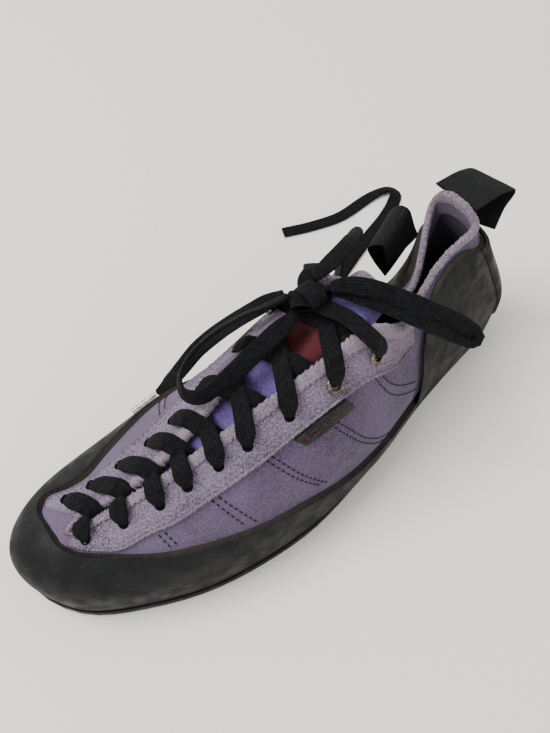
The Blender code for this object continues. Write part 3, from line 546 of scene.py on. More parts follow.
# %% [markdown]
# ### Woven bands
# Lace and webbing are bands with a `UV` in metres: `U` runs along the band and `V` across it. Ribs across
# the width come from a sine of `V`, and the weave's picks from a sine of `U`. In the webbing the two change
# places, so its ribs lie crosswise.

# %% Bands' weave
def woven(name, dark, pale, ribs, picks, depth, axis=1, sheen=0.15):
    look, shader = new_look(name, dark, 0.88, sheen=sheen, specular=0.15)

    def ridges(direction, spacing):
        turns = math_node(look, "MULTIPLY", part_of(look, "UV", direction), 2 * math.pi / spacing)
        return between(look, math_node(look, "SINE", turns, 0.0), -1, 1)

    rib, pick = ridges(axis, ribs), ridges(1 - axis, picks)
    lit = math_node(look, "MULTIPLY", rib, between(look, grain(look, 500, 4), 0.25, 0.7))
    look.node_tree.links.new(blend(look, lit, dark, pale), shader.inputs["Base Color"])
    relief(look, shader, (rib, depth), (pick, depth * 0.3), (grain(look, 2500, 2), 0.0001))
    return look


# Each weave's dark and pale colour, the spacing of its ribs and picks, and their depth
lace_weave = woven(
    "lace_weave", (0.0016, 0.0018, 0.0024), (0.012, 0.013, 0.016), 0.0011, 0.0007, 0.00030, sheen=0.0
)
webbing_weave = woven(
    "webbing_weave", (0.006, 0.0065, 0.007), (0.017, 0.018, 0.019), 0.0008, 0.0016, 0.00010, axis=0, sheen=0.0
)
tag_weave = woven("tag_weave", (0.018, 0.021, 0.019), (0.044, 0.048, 0.044), 0.0009, 0.0009, 0.00012)
tag_thread = woven("tag_red_thread", (0.13, 0.014, 0.022), (0.24, 0.035, 0.045), 0.0009, 0.0009, 0.0001)
label_red = woven("label_red_weave", (0.075, 0.005, 0.010), (0.16, 0.013, 0.020), 0.0007, 0.0007, 0.00012)
label_black = woven("label_black_weave", (0.008, 0.008, 0.009), (0.025, 0.022, 0.028), 0.0007, 0.0007, 0.0001)

# %% [markdown]
# ### Metal, thread and the clear tip
# The grommets are brass gone dark, the thread has a little gloss, and the lace's tip is a sleeve of clear
# plastic over the pinched band.

# %% Small finishes
def flecked(look, shader, share, dark, pale):
    """A finish that changes between two colours with a share from 0 to 1."""
    look.node_tree.links.new(blend(look, share, dark, pale), shader.inputs["Base Color"])


dark_brass, shader = new_look("dark_brass", (0.16, 0.135, 0.10), 0.36, metallic=1.0)
rubbed = between(dark_brass, grain(dark_brass, 700, 4), 0.35, 0.7)
flecked(dark_brass, shader, rubbed, (0.09, 0.08, 0.065), (0.28, 0.24, 0.18))
dark_brass.node_tree.links.new(between(dark_brass, rubbed, 0, 1, 0.45, 0.28), shader.inputs["Roughness"])

thread, shader = new_look("lilac_thread", (0.12, 0.095, 0.16), 0.6, sheen=0.1)
fibres = between(thread, grain(thread, 900, 2), 0.3, 0.7)
flecked(thread, shader, fibres, (0.05, 0.04, 0.07), (0.15, 0.125, 0.19))

dark_thread, shader = new_look("dark_thread", (0.010, 0.009, 0.013), 0.7, specular=0.15)
fibres = between(dark_thread, grain(dark_thread, 900, 2), 0.3, 0.7)
flecked(dark_thread, shader, fibres, (0.004, 0.0036, 0.006), (0.014, 0.013, 0.018))

# painted shade: a near-black finish for the inside of the plain lace holes
hole_painted_shade, _ = new_look("hole_painted_shade", (0.003, 0.0027, 0.004), 0.95, specular=0.05)

clear, shader = new_look("clear_sleeve", (0.50, 0.50, 0.47), 0.18, coat=0.5)
cloudy = between(clear, grain(clear, 400, 3), 0.35, 0.65)
flecked(clear, shader, cloudy, (0.33, 0.33, 0.31), (0.66, 0.66, 0.62))
print("small finishes:", [look.name for look in (dark_brass, thread, dark_thread, hole_painted_shade, clear)])

# %% [markdown]
# ## Laying a sheet on the shoe
# Suede and rubber parts are sheets, so each starts as a flat grid, and its points are then moved onto the
# wall. The grid's two directions become the `UV`, and the edges are turned down onto what lies under
# them. A row of creases, listed in stations and shares of the wall, sinks or lifts all the layers
# together, so that none of them comes through another.

# %% Creases
STATION_LENGTH = 0.023  # between two stations, roughly
WALL_HEIGHT = 0.075  # from the wall's lower to its upper edge, roughly
# Each crease: from station and share to station and share, its half width and its depth, a ridge if below 0
CREASES = [
    (7.25, 0.72, 6.55, 0.44, 0.0042, 0.0007),
    (7.95, 0.70, 7.35, 0.47, 0.0036, 0.0006),
    (8.75, 0.70, 8.15, 0.52, 0.0034, 0.0006),
    (6.1, 0.66, 5.3, 0.34, 0.0050, 0.0008),
    (5.2, 0.72, 4.6, 0.40, 0.0046, 0.0008),
    (4.75, 0.95, 4.35, 0.55, 0.0050, 0.0010),
    (6.75, 0.60, 6.05, 0.36, 0.0042, -0.0005),
    (8.35, 0.66, 7.8, 0.50, 0.0034, -0.0004),
    (16.6, 0.70, 17.3, 0.42, 0.0044, 0.0007),
    (15.7, 0.70, 16.2, 0.50, 0.0040, 0.0006),
    (17.9, 0.72, 18.6, 0.40, 0.0050, 0.0008),
    (19.2, 0.95, 19.7, 0.55, 0.0050, 0.0009),
    (18.6, 0.66, 19.2, 0.36, 0.0046, -0.0005),
]


def creased(u, t):
    """How far the wall sinks in at a point, in metres."""
    along, up = STATION_LENGTH, WALL_HEIGHT
    depth = np.zeros(np.shape(u))
    for u0, t0, u1, t1, half, deep in CREASES:
        ax, ay, bx, by = u0 * along, t0 * up, u1 * along, t1 * up
        dx, dy = bx - ax, by - ay
        f = np.clip(((u * along - ax) * dx + (t * up - ay) * dy) / (dx * dx + dy * dy), 0, 1)
        away = np.hypot(u * along - ax - f * dx, t * up - ay - f * dy)
        fading = 0.35 + 0.65 * np.sin(np.pi * np.clip(f, 0.02, 0.98))  # towards both ends
        depth += deep * np.exp(-((away / half) ** 2)) * fading
    return depth


def wall(u, t, offset):
    """A point over the creased wall."""
    return shifted(u, t, offset - creased(u, t))


# %% A piece of the shoe
def piece(name, bm, look, node=None):
    """A visible piece that moves with the shoe; node is the solid that it stands in for, if any."""
    thing = new_object(name, bm, look)
    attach(thing, "root")
    if node:
        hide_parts(node)
    return thing


def dress(node, look):
    """A solid that keeps its own mesh gets its look."""
    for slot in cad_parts[node].material_slots:
        slot.material = look


# %% A flat grid, moved into place
def sheet(name, rows, columns, place, look, node=None, weld=False):
    """A grid of rows by columns; place(a, b) gives its points for two numbers from 0 to 1."""
    bm = bmesh.new()
    bmesh.ops.create_grid(bm, x_segments=rows, y_segments=columns, size=1)
    uv = bm.loops.layers.uv.new("UVMap")
    flat = np.array([v.co[:2] for v in bm.verts]) / 2 + 0.5
    for face in bm.faces:
        for loop in face.loops:
            loop[uv].uv = (loop.vert.co.x / 2 + 0.5, loop.vert.co.y / 2 + 0.5)
    for vert, point in zip(bm.verts, place(flat[:, 0], flat[:, 1])):
        vert.co = point
    if weld:
        bmesh.ops.remove_doubles(bm, verts=bm.verts, dist=2e-5)
    return piece(name, bm, look, node)


def shoulder(edge):
    """A quarter circle: 0 at a sheet's edge, and 1 where edge reaches 1."""
    edge = np.clip(edge, 0, 1)
    return np.sqrt(np.clip(1 - (1 - edge) ** 2, 0, 1))


def turned_down(b, height, rounding=0.06):
    """The height inside a sheet, and 0 at both edges of b, with rounded shoulders."""
    return shoulder(np.minimum(b, 1 - b) / rounding) * height


# %% [markdown]
# ## The upper
# The quarter is the shoe's largest sheet of suede. It is laid as one ring, from the lower edge to the rim,
# and a second ring inside it is the lining, darkened as painted shade of the shoe's inside. Along the collar
# the suede is folded over the edge, and its pale, brushed fold shows as a band: a strip that wraps the rim.

# %% Quarter and lining
def outside(a, b):
    return wall(a * STATIONS, b, 0 * a)


def inside(a, b):
    points = wall(a * STATIONS, b, 0 * a - SUEDE)
    points[:, 2] = np.maximum(points[:, 2], seat(points[:, 0]) + 0.0012)
    return points


quarter = sheet("upper_suede", 360, 44, outside, lilac, "upper", weld=True)
# the lining's near-black suede is painted shade of the shoe's inside
sheet("upper_lining", 300, 30, inside, lining, "upper", weld=True)


# %% Folded rim of collar and throat
def fold_over(name, start, stop, width, rows, lift=0.0, thick=0.0007, inner_width=0.0035):
    """A strip wrapped over the rim from the outer face, over the edge and down the inside."""

    def place(a, b):
        u = start + (stop - start) * a
        width_here = width(u) if callable(width) else width + 0 * u
        outer = np.clip((0.45 - b) / 0.45, 0, 1)
        inner = np.clip((b - 0.62) / 0.38, 0, 1)
        t = 0.995 - outer * width_here / WALL_HEIGHT - inner * inner_width / WALL_HEIGHT
        turn = np.clip((b - 0.40) / 0.26, 0, 1) * math.pi
        half = (SUEDE + lift + 2 * thick) / 2
        offset = lift + thick - half + half * np.cos(turn)
        offset = offset - np.clip(outer - 0.8, 0, 1) * 5 * (thick - 0.0002)
        points = wall(u, np.minimum(t, 1.0), offset)
        over = np.sin(turn) * half
        tangent = skin(u, np.ones_like(u)) - skin(u, np.full_like(u, 0.97))
        tangent /= np.linalg.norm(tangent, axis=-1, keepdims=True)
        wave = 0.0003 * np.sin(u * 61) + 0.0004 * np.sin(u * 143 + 1) * np.sin(u * 17)
        wave = wave + 0.0002 * np.sin(u * 311)
        return points + tangent * (over + wave)[:, None]

    return sheet(name, rows, 22, place, edge_lilac)


def collar_width(u):
    return 0.0013 + 0.0007 * np.exp(-((np.abs(u) - 1.2) ** 2))


fold_over("collar_fold", -4.25, 4.3, collar_width, 220)
print("upper:", len(quarter.data.polygons), "faces")

# %% [markdown]
# ## The rubber
# A toe cap with its rand runs round the front, and a second piece wraps the heel. Each is a sheet that
# stands 2 mm proud of the suede, with a rounded upper edge where it was ground to shape. The strip up the
# back of the heel covers the seam between the two halves of the heel rubber.

# %% Rands
RAND_START, RAND_STOP = 4.05, 19.93  # the stations of the rand's two ends
ROUNDS = 8  # the front edge leans, so station and height are found by turns


def rand_place(u, top, b, lip):
    """A point of a rand that ends at the share top, with its upper edge rounded over the share lip."""
    t = b * top
    sunk = (1 - shoulder((1 - b) / lip)) * (RAND + 0.0005) + creased(u, t) * (t > 0.4)
    return rubber(u, t) - skin_normal(u, np.maximum(t, BELLY_AT)) * sunk[:, None]


def toe_place(a, b):
    u = RAND_START + (RAND_STOP - RAND_START) * a
    return rand_place(u, rand_line(u), b, 0.035)


def heel_place(a, b):
    side = a * 2 - 1
    t = b * 0.8
    for _ in range(ROUNDS):
        u = side * heel_front(t)
        t = b * heel_line(np.abs(u))
    return rand_place(u, heel_line(np.abs(u)), b, 0.03)


toe_rand = sheet("toe_rubber_sheet", 420, 30, toe_place, toe_rubber, "toe_rand")
heel_rand = sheet("heel_rubber_sheet", 150, 40, heel_place, heel_rubber, "heel_rand")

# %% Strip up the heel's back
STRIP_FOOT = 0.10  # share of the wall's height at which the strip starts


def strip_place(a, b):
    side = a * 2 - 1
    t = STRIP_FOOT + b * 0.66
    for _ in range(ROUNDS):
        u = side * strip_edge(t)
        t = STRIP_FOOT + b * (heel_line(np.abs(u)) - 0.012 - STRIP_FOOT)
    ends = np.clip(np.minimum(b, 1 - b) / 0.03, 0, 1) ** 0.5
    lift = CURVE_GAP + turned_down(a, STRIP, 0.08) * ends - 0.0003
    return rubber(u, t) + skin_normal(u, np.maximum(t, BELLY_AT)) * lift[:, None]


heel_strip = sheet("heel_strip_sheet", 36, 60, strip_place, heel_rubber, "heel_strip")
print("rubber sheets:", [len(thing.data.polygons) for thing in (toe_rand, heel_rand, heel_strip)], "faces")

# %% [markdown]
# ## Outsole and insole
# The outsole's solid has the right form as it is, so it keeps its mesh and only gets the sole's rubber.
# The insole is a flat sheet of leather that hardly shows.

# %% Carried-over solids
dress("outsole", sole_rubber)
# the insole takes the lining's suede, darkened as painted shade of the shoe's inside
dress("insole", lining)
print("kept as they are: outsole, insole")

# %% [markdown]
# ## Facings
# Two long overlays carry the lace holes. Their edge along the throat is folded, brushed and paler than
# the rest, so it is a strip of its own over the rim.

# %% Facing sheets
ON_FACING = CURVE_GAP + FACING  # height of a facing's outer face over the upper


def facing_sheet(name, start, stop, seam, node):
    """A facing from its seam on the quarter up to the throat."""

    def place(a, b):
        u = start + (stop - start) * a
        low = seam(u)
        t = low + (0.99 - low) * b
        ends = np.clip(np.minimum(a, 1 - a) / 0.008, 0, 1) ** 0.5
        lift = CURVE_GAP + FACING * np.clip(b / 0.05, 0, 1) ** 0.5 * ends
        return wall(u, t, lift - 0.0004)

    sheet(name, 260, 20, place, facing_lilac, node)


facing_sheet("facing_sheet_lateral", 4.15, 11.25, lateral_seam, "lateral_facing")
facing_sheet("facing_sheet_medial", 12.95, 19.85, medial_seam, "medial_facing")
for name, start, stop, width in (
    ("throat_fold_lateral", 4.2, 11.3, 0.0034),
    ("throat_fold_medial", 12.9, 19.8, 0.0022),
):
    fold_over(
        name, start, stop, width, 260, lift=ON_FACING, thick=0.0006, inner_width=0.005
    )
fold_over("throat_fold_toe", 11.2, 13.0, 0.002, 60, thick=0.0008)


# %% Cut edges of the facings
def cut_edge(name, start, stop, seam):
    """The raw edge of a facing along its seam: a thin, uneven, paler strip that stands up from the quarter."""

    def place(a, b):
        u = start + (stop - start) * a
        ragged = 0.004 * np.sin(u * 83) * np.sin(u * 29 + 0.7) + 0.003 * np.sin(u * 191 + 2)
        t = seam(u) - 0.010 + ragged + 0.030 * b
        rise = np.sin(np.clip(b * 1.25, 0, 1) * math.pi / 2)
        tucked = 0.0012 * np.clip(b - 0.75, 0, 1) * 4
        return wall(u, t, -0.0003 + (ON_FACING + 0.0006) * rise - tucked)

    sheet(name, 420, 8, place, edge_lilac)


cut_edge("facing_edge_lateral", 4.2, 11.2, lateral_seam)
cut_edge("facing_edge_medial", 13.0, 19.8, medial_seam)


# %% Lining of the heel tab
def tab_place(a, b):
    u = -3.4 + 6.8 * a
    low = 0.80 + 0.05 * np.cos(u)
    return wall(u, low + (0.985 - low) * b, -SUEDE - 0.0004 + 0 * a)


sheet("tab_lining", 120, 12, tab_place, rim_lining)

# %% [markdown]
# ## Tongue
# The tongue lies under the laces and ends in a point over the instep. Its middle surface is given by rows
# across the shoe, from under the facings to the free end, and smoothed through them. A pale binding over
# the free end and a red woven patch with a black border finish it.

# %% Tongue surface
# The free end's last rows from the medial to the lateral edge, in mm
TONGUE_END = [
    [(70, -4.5, 84.5), (68, 1, 87), (66.5, 7, 88), (66, 14, 86), (66, 19.5, 82)],
    [(69, -4, 86.5), (63.5, -1.5, 89.5), (57.5, 0.5, 92.5), (54.5, 9, 88), (57, 17, 82.5)],
]
MM = 0.001
ROWS, COLUMNS = 140, 60  # steps of the fine grid along and across the tongue


def tongue_rows():
    """The middle surface's rows from the toe's end to the free end, seven points in each."""
    depth = SUEDE + 0.0018 + TONGUE / 2
    rows = []
    for u in np.linspace(10.5, 6.15, 13):
        places = [(STATIONS - u, 0.80), (STATIONS - u, 0.90), (STATIONS - u, 0.99)]
        places += [(u, 0.99), (u, 0.90), (u, 0.80)]
        m1, m2, m3, l3, l2, l1 = [shifted(p, t, -depth) for p, t in places]
        rows.append([m1, m2, m3, (m3 + l3) / 2, l3, l2, l1])
    for end in TONGUE_END:
        p1, p2, p3, p4, p5 = [np.array(p) * MM for p in end]
        rows.append([p1, (p1 + p2) / 2, p2, p3, p4, (p4 + p5) / 2, p5])
    return np.array(rows)


def smooth_along(values, where):
    """values (first axis: rows) read at row numbers, along a smooth curve through them."""
    where = np.clip(np.asarray(where, float), 0, len(values) - 1)
    slope = np.gradient(values, axis=0)
    i = np.clip(np.floor(where).astype(int), 0, len(values) - 2)
    f = (where - i).reshape(where.shape + (1,) * (values.ndim - 1))
    return cubic(values[i], values[i + 1], slope[i], slope[i + 1], f)


rows = tongue_rows()
TONGUE_FINE = smooth_along(rows, np.linspace(0, len(rows) - 1, ROWS + 1))
TONGUE_FINE = smooth_along(np.swapaxes(TONGUE_FINE, 0, 1), np.linspace(0, rows.shape[1] - 1, COLUMNS + 1))
TONGUE_FINE = np.swapaxes(TONGUE_FINE, 0, 1)
TONGUE_NORMAL = np.cross(np.gradient(TONGUE_FINE, axis=1), np.gradient(TONGUE_FINE, axis=0))
TONGUE_NORMAL /= np.linalg.norm(TONGUE_NORMAL, axis=-1, keepdims=True)
TONGUE_NORMAL *= np.sign(TONGUE_NORMAL[..., 2:3])


def on_tongue(a, b, lift):
    """a from the toe's end to the free end, b from the medial to the lateral edge."""
    i = np.clip(np.rint(a * ROWS).astype(int), 0, ROWS)
    j = np.clip(np.rint(b * COLUMNS).astype(int), 0, COLUMNS)
    return TONGUE_FINE[i, j] + TONGUE_NORMAL[i, j] * np.asarray(lift)[..., None]


def tongue_place(a, b):
    """Round the tongue: its upper face while b runs to 0.5, and its lower face back again."""
    over = b <= 0.5
    across = np.where(over, b * 2, 2 - b * 2)
    thin_end = np.clip((1 - a) / 0.01, 0, 1) ** 0.5
    half = TONGUE / 2 * np.clip(turned_down(across, 1, 0.03) * thin_end, 0.02, 1)
    return on_tongue(a, across, np.where(over, half, -half))


tongue = sheet(
    "tongue_sheet", ROWS, 2 * COLUMNS, tongue_place, tongue_violet, "tongue", weld=True
)
print("tongue:", len(tongue.data.polygons), "faces")


# %% Patch on the tongue
def patch_place(low_a, high_a, low_b, high_b, lift):
    """A patch that stands lift over the tongue, between shares of its length and of its width."""

    def place(a, b):
        along = (low_a + (high_a - low_a) * a) * ROWS
        j = np.clip((low_b + (high_b - low_b) * b) * COLUMNS, 0, COLUMNS - 0.001)
        k = j.astype(int)
        f = (j - k)[:, None]
        each = np.arange(len(a))

        def read(grid):
            row = smooth_along(grid.reshape(ROWS + 1, -1), along).reshape(-1, COLUMNS + 1, 3)
            return row[each, k] * (1 - f) + row[each, k + 1] * f

        rise = turned_down(a, lift, 0.04) * np.clip(turned_down(b, 1, 0.06), 0.1, 1)
        return read(TONGUE_FINE) + read(TONGUE_NORMAL) * (TONGUE / 2 + rise)[:, None]

    return place


border = patch_place(0.63, 0.865, 0.325, 0.69, CURVE_GAP + 0.0005)
red_field = patch_place(0.645, 0.85, 0.36, 0.655, CURVE_GAP + LABEL)
binding = patch_place(0.972, 0.9985, 0.02, 0.98, CURVE_GAP + 0.0003)
sheet("tongue_patch_border", 30, 24, border, label_black, "tongue_label")
sheet("tongue_patch_red", 30, 24, red_field, label_red, "tongue_label")
sheet("tongue_end_binding", 8, 60, binding, edge_lilac)



# %% [markdown]
# ## Woven tag on the side
# A dark tag is sewn under the lateral facing. It is a small sheet of its own weave, and a few plain red
# bars lie on it as thread does, a fifth of a millimetre proud.

# %% Side tag
TAG_BARS = [  # from, to, bottom and top, as shares of the tag
    (0.10, 0.155, 0.3, 0.7), (0.20, 0.38, 0.62, 0.72), (0.20, 0.38, 0.30, 0.40),
    (0.44, 0.49, 0.3, 0.7), (0.55, 0.80, 0.46, 0.56),
]  # fmt: skip


def tag_place(low, high, bottom, top, lift):
    """A part of the tag, which hangs from the facing's seam and leans with the quarter."""

    def place(a, b):
        aa, bb = low + (high - low) * a, bottom + (top - bottom) * b
        u = 7.30 - 0.95 * aa - 0.27 * (1 - bb)
        t = lateral_seam(u) - 0.012 - 0.085 * (1 - bb)
        return wall(u, t, CURVE_GAP + turned_down(a, lift, 0.03) * np.clip(turned_down(b, 1, 0.1), 0.1, 1))

    return place


sheet("side_tag_sheet", 60, 16, tag_place(0, 1, 0, 1, LABEL), tag_weave, "side_tag")
for number, share in enumerate(TAG_BARS, 1):
    sheet("side_tag_bar_%d" % number, 8, 4, tag_place(*share, LABEL + 0.0002), tag_thread)

# %% [markdown]
# ## Seams
# A seam is a thread that dips in and out. Each stitch that shows is a short bead of thread lying in a line,
# so a line of stitches is one mesh of many small rounded beads, each turned along the line.

# %% Stitches
def distances(points):
    """How far along a path each of its points lies."""
    return np.concatenate([[0], np.cumsum(np.linalg.norm(np.diff(points, axis=0), axis=1))])


def stitches(name, paths, length, thickness, gap, look):
    """paths are lists of (point, normal) arrays; beads of the given length lie along them."""
    bm = bmesh.new()
    count = 0
    for points, normals in paths:
        run = distances(points)
        for s in np.arange(length, run[-1] - length / 2, length + gap):
            p = Vector([np.interp(s, run, points[:, k]) for k in range(3)])
            q = Vector([np.interp(s + length / 2, run, points[:, k]) for k in range(3)])
            up = Vector([np.interp(s, run, normals[:, k]) for k in range(3)]).normalized()
            x = (q - p).normalized()
            y = up.cross(x).normalized()
            turn = Matrix((x, y, x.cross(y))).transposed().to_4x4()
            size = Matrix.Diagonal((length / 2, thickness / 2, thickness / 2, 1))
            made = bmesh.ops.create_uvsphere(bm, u_segments=6, v_segments=4, radius=1)
            bmesh.ops.transform(bm, verts=made["verts"], matrix=Matrix.Translation(p) @ turn @ size)
            count += 1
    piece(name, bm, look)
    print(name, count, "stitches")


def wall_line(pairs, lift, steps=60):
    """Points and normals along straight runs between (station, share) pairs on the wall."""
    pairs = np.array(pairs, float)
    where = np.linspace(0, len(pairs) - 1, steps)
    u = np.interp(where, range(len(pairs)), pairs[:, 0])
    t = np.interp(where, range(len(pairs)), pairs[:, 1])
    return wall(u, t, lift + 0 * u), skin_normal(u, t)


# Rows of stitches that run down the quarter from the facing, with their (station, share) ends
QUARTER_SEAMS = [
    [(9.49, 0.705), (9.28, 0.565)],
    [(9.40, 0.705), (9.17, 0.555)],
    [(8.68, 0.742), (8.13, 0.47)],
    [(8.57, 0.735), (7.92, 0.445)],
    [(7.79, 0.765), (7.25, 0.565), (6.71, 0.385)],
    [(7.69, 0.765), (7.12, 0.555), (6.54, 0.355)],
    [(6.62, 0.70), (5.85, 0.44), (5.06, 0.20)],
    [(6.49, 0.69), (5.70, 0.43), (4.88, 0.20)],
    [(5.67, 0.765), (4.85, 0.54), (4.03, 0.31)],
    [(5.51, 0.77), (4.79, 0.60), (4.07, 0.415)],
]
MEDIAL_QUARTER = [[(STATIONS - u, t) for u, t in seam] for seam in QUARTER_SEAMS[2:]]
quarter_lines = [wall_line(seam, 0.0002) for seam in QUARTER_SEAMS + MEDIAL_QUARTER]
stitches("quarter_stitches", quarter_lines, 0.0021, 0.0007, 0.0007, dark_thread)


# %% Stitches along the facings, collar and tag
def seam_line(start, stop, seam, inset, lift):
    """Points and normals at a share of the wall beside a seam; inset is below 0 under it."""
    u = np.linspace(start, stop, 200)
    t = seam(u) + inset
    return wall(u, t, lift + 0 * u), skin_normal(u, t)


def rim_share(u):
    return 0.99 + 0 * u


facing_lines = [
    seam_line(start, stop, seam, inset, ON_FACING - 0.0003)
    for start, stop, seam in ((4.3, 11.1, lateral_seam), (13.1, 19.7, medial_seam))
    for inset in (0.030, 0.058)
]
stitches("facing_stitches", facing_lines, 0.0018, 0.00045, 0.0009, thread)
collar_lines = [seam_line(-4.0, 4.0, rim_share, -0.105, 0.0003)]
stitches("collar_stitches", collar_lines, 0.0021, 0.0006, 0.0008, thread)

# %% [markdown]
# ## Lace
# The lace is one flat, ribbed band, about 8 mm wide. It is pinched where it comes out of a hole, spreads as
# it bends over the facing's edge, and dives under the opposite side to the next hole. `band` sweeps a flat
# rounded section along a path, and gives it a `UV` in metres for the weave.

# %% A swept band
def band(name, path, sides, width, thick, look, node, pinch=None, facets=16):
    """A band along a path: sides point across it, and pinch is its share of the full width at each point."""
    path, sides = np.array(path, float), np.array(sides, float)
    along = np.gradient(path, axis=0)
    along /= np.linalg.norm(along, axis=1, keepdims=True)
    sides = sides - along * (sides * along).sum(1, keepdims=True)
    sides /= np.linalg.norm(sides, axis=1, keepdims=True)
    up = np.cross(along, sides)
    run = distances(path)
    narrow = np.ones(len(path)) if pinch is None else np.asarray(pinch, float)
    bm = bmesh.new()
    bmesh.ops.create_grid(bm, x_segments=len(path) - 1, y_segments=facets, size=1)
    uv = bm.loops.layers.uv.new("UVMap")

    def section(y):
        """Across and up, from -1 to 1, round a flat section with soft edges."""
        turn = (y + 1) * math.pi
        c, s = math.cos(turn), math.sin(turn)
        return math.copysign(abs(c) ** 0.55, c), math.copysign(abs(s) ** 0.8, s)

    def step_of(vert):
        return round((vert.co.x / 2 + 0.5) * (len(path) - 1))

    for face in bm.faces:
        for loop in face.loops:
            loop[uv].uv = (run[step_of(loop.vert)], section(loop.vert.co.y)[0] * width / 2)
    for vert in bm.verts:
        i = step_of(vert)
        across, rise = section(vert.co.y)
        thicker = thick * (1 + 0.9 * (1 - narrow[i]))
        vert.co = path[i] + sides[i] * across * width / 2 * narrow[i] + up[i] * rise * thicker / 2
    bmesh.ops.remove_doubles(bm, verts=bm.verts, dist=1e-6)
    bmesh.ops.holes_fill(bm, edges=[e for e in bm.edges if e.is_boundary], sides=0)
    return piece(name, bm, look, node)


def lace(name, path, sides, pinch, node):
    return band(name, path, sides, LACE_WIDTH, LACE, lace_weave, node, pinch)


def pinched(count, spread):
    """The lace's share of its width, from a hole outwards: full after spread steps."""
    return 0.42 + 0.58 * np.clip(np.arange(count) / spread, 0, 1) ** 0.8


# %% Routes, as in the solids
def smooth_route(rows, step):
    """Points every step along a smooth curve through the rows' first three numbers; the rest ride along."""
    rows = np.array(rows, float)
    chord = np.linalg.norm(np.diff(rows[:, :3], axis=0), axis=1) ** 0.5
    knots = np.concatenate([[0], np.cumsum(chord)])
    slope = np.gradient(rows, knots, axis=0)
    fine = np.linspace(0, knots[-1], 40 * len(rows))
    i = np.clip(np.searchsorted(knots, fine) - 1, 0, len(knots) - 2)
    h = (knots[i + 1] - knots[i])[:, None]
    f = (fine - knots[i])[:, None] / h
    curve = cubic(rows[i], rows[i + 1], slope[i] * h, slope[i + 1] * h, f)
    run = distances(curve[:, :3])
    count = max(3, round(run[-1] / step) + 1)
    even = np.linspace(0, run[-1], count)
    return np.column_stack([np.interp(even, run, curve[:, k]) for k in range(rows.shape[1])])


def rolled_sides(route):
    """Width directions of a band: roll is 0 where it lies flat and 90 where it stands on its edge."""
    along = np.gradient(route[:, :3], axis=0)
    flat = np.cross(UP, along)
    flat /= np.linalg.norm(flat, axis=1, keepdims=True)
    rise = np.cross(along, flat)
    rise /= np.linalg.norm(rise, axis=1, keepdims=True)
    roll = np.radians(route[:, 3:4])
    return flat * np.cos(roll) + rise * np.sin(roll)


# The free lace: x, y, z in mm and the band's roll in degrees, from the knot outwards
KNOT = (85.5, 0.5, 95.5)
LEFT_LOOP = [
    (94, -4, 97, 30), (102, -5.5, 96, 40), (113.5, -9, 93.5, 45), (127.5, -11.7, 88.5, 50),
    (138.5, -11.2, 83, 60), (145.2, -7.4, 79.5, 70), (147.5, -0.7, 78, 80), (143.2, 4.8, 78.5, 75),
    (132.7, 5.8, 81.5, 60), (118.6, 5.1, 86, 40), (104, 3.9, 90.5, 25), (94.5, 3, 92.8, 10),
]  # fmt: skip
RIGHT_LOOP = [
    (77, 4.5, 99, 0), (73, 6, 99, 0), (64.4, 13, 97.5, 5), (55.7, 21.8, 93.5, 10), (46.3, 30.6, 87.5, 10),
    (37.3, 37.5, 80.5, 10), (31.2, 42, 74.5, 10), (29.6, 44, 71.5, 10), (32, 45, 70.5, 10),
    (37.5, 42, 74.5, 10), (44.5, 37.3, 80.5, 10), (52.5, 30.5, 86.5, 10), (60, 22, 91, 10),
    (66.2, 14, 94, 5), (72, 7.6, 95.8, 0), (76.5, 4, 96.2, 0),
]  # fmt: skip
END_TOE = [
    (92.5, -8.5, 93, 0), (97, -11, 90.5, -10), (103, -13.5, 87, -20), (110, -20, 77.5, -35),
    (117, -29, 63, -55), (123.8, -37, 48, -70), (130.6, -44, 31, -70), (136, -50, 17, -50),
    (140.2, -53, 10, -20), (143.8, -54.3, 7.2, -5),
]  # fmt: skip
END_HEEL = [
    (80.4, -4.1, 99.2, 0), (70, -5.5, 101, 0), (58, -9.5, 100.5, 0), (49.5, -16, 96, -20),
    (45, -24, 86, -50), (43, -30, 70, -70), (42, -34, 52, -80), (41, -37.5, 34, -80), (39, -42, 17, -60),
    (34, -49, 5, -20), (24, -60, 1.2, 0),
    (2.8, -70.7, 1.2, 0), (-18.3, -79.7, 1.2, 0), (-38.4, -87.5, 1.2, 0), (-50, -93.5, 1.4, 10),
    (-57, -99.5, 2.2, 25), (-55.5, -105, 2.2, 25), (-46, -107, 1.4, 10), (-37, -106.5, 1.2, 0),
    (-15.9, -104.5, 1.2, 0), (4.4, -108.8, 1.2, 0), (20.9, -114.7, 1.2, 0),
]  # fmt: skip
EYELET_TOP = ON_FACING + GAP + 0.0003  # under side of the grommet's flange
FLANGE = 0.0006  # its thickness
LACE_LIFT = EYELET_TOP + FLANGE + GAP + LACE / 2 + 0.0002
RIM_LIFT = 0.0012  # how much higher the lace bends over the throat's edge


# %% Strands through the eyelets
CROSSING_SEEN = 3  # rows at the wide end of the throat where whole crossings show
RIM_HEIGHT = 0.0046  # of a strand's middle over the upper, where it bends over the throat's edge


def rim_crossing(near, far, u0):
    """The station at which the line between two points crosses the rim, seen from above, near station u0."""
    u = np.linspace(u0 - 1.3, u0 + 1.3, 261)
    rim = skin(u, rim_share(u))
    run = far - near
    aside = run[0] * (rim[:, 1] - near[1]) - run[1] * (rim[:, 0] - near[0])
    return float(u[np.argmin(np.abs(aside))])


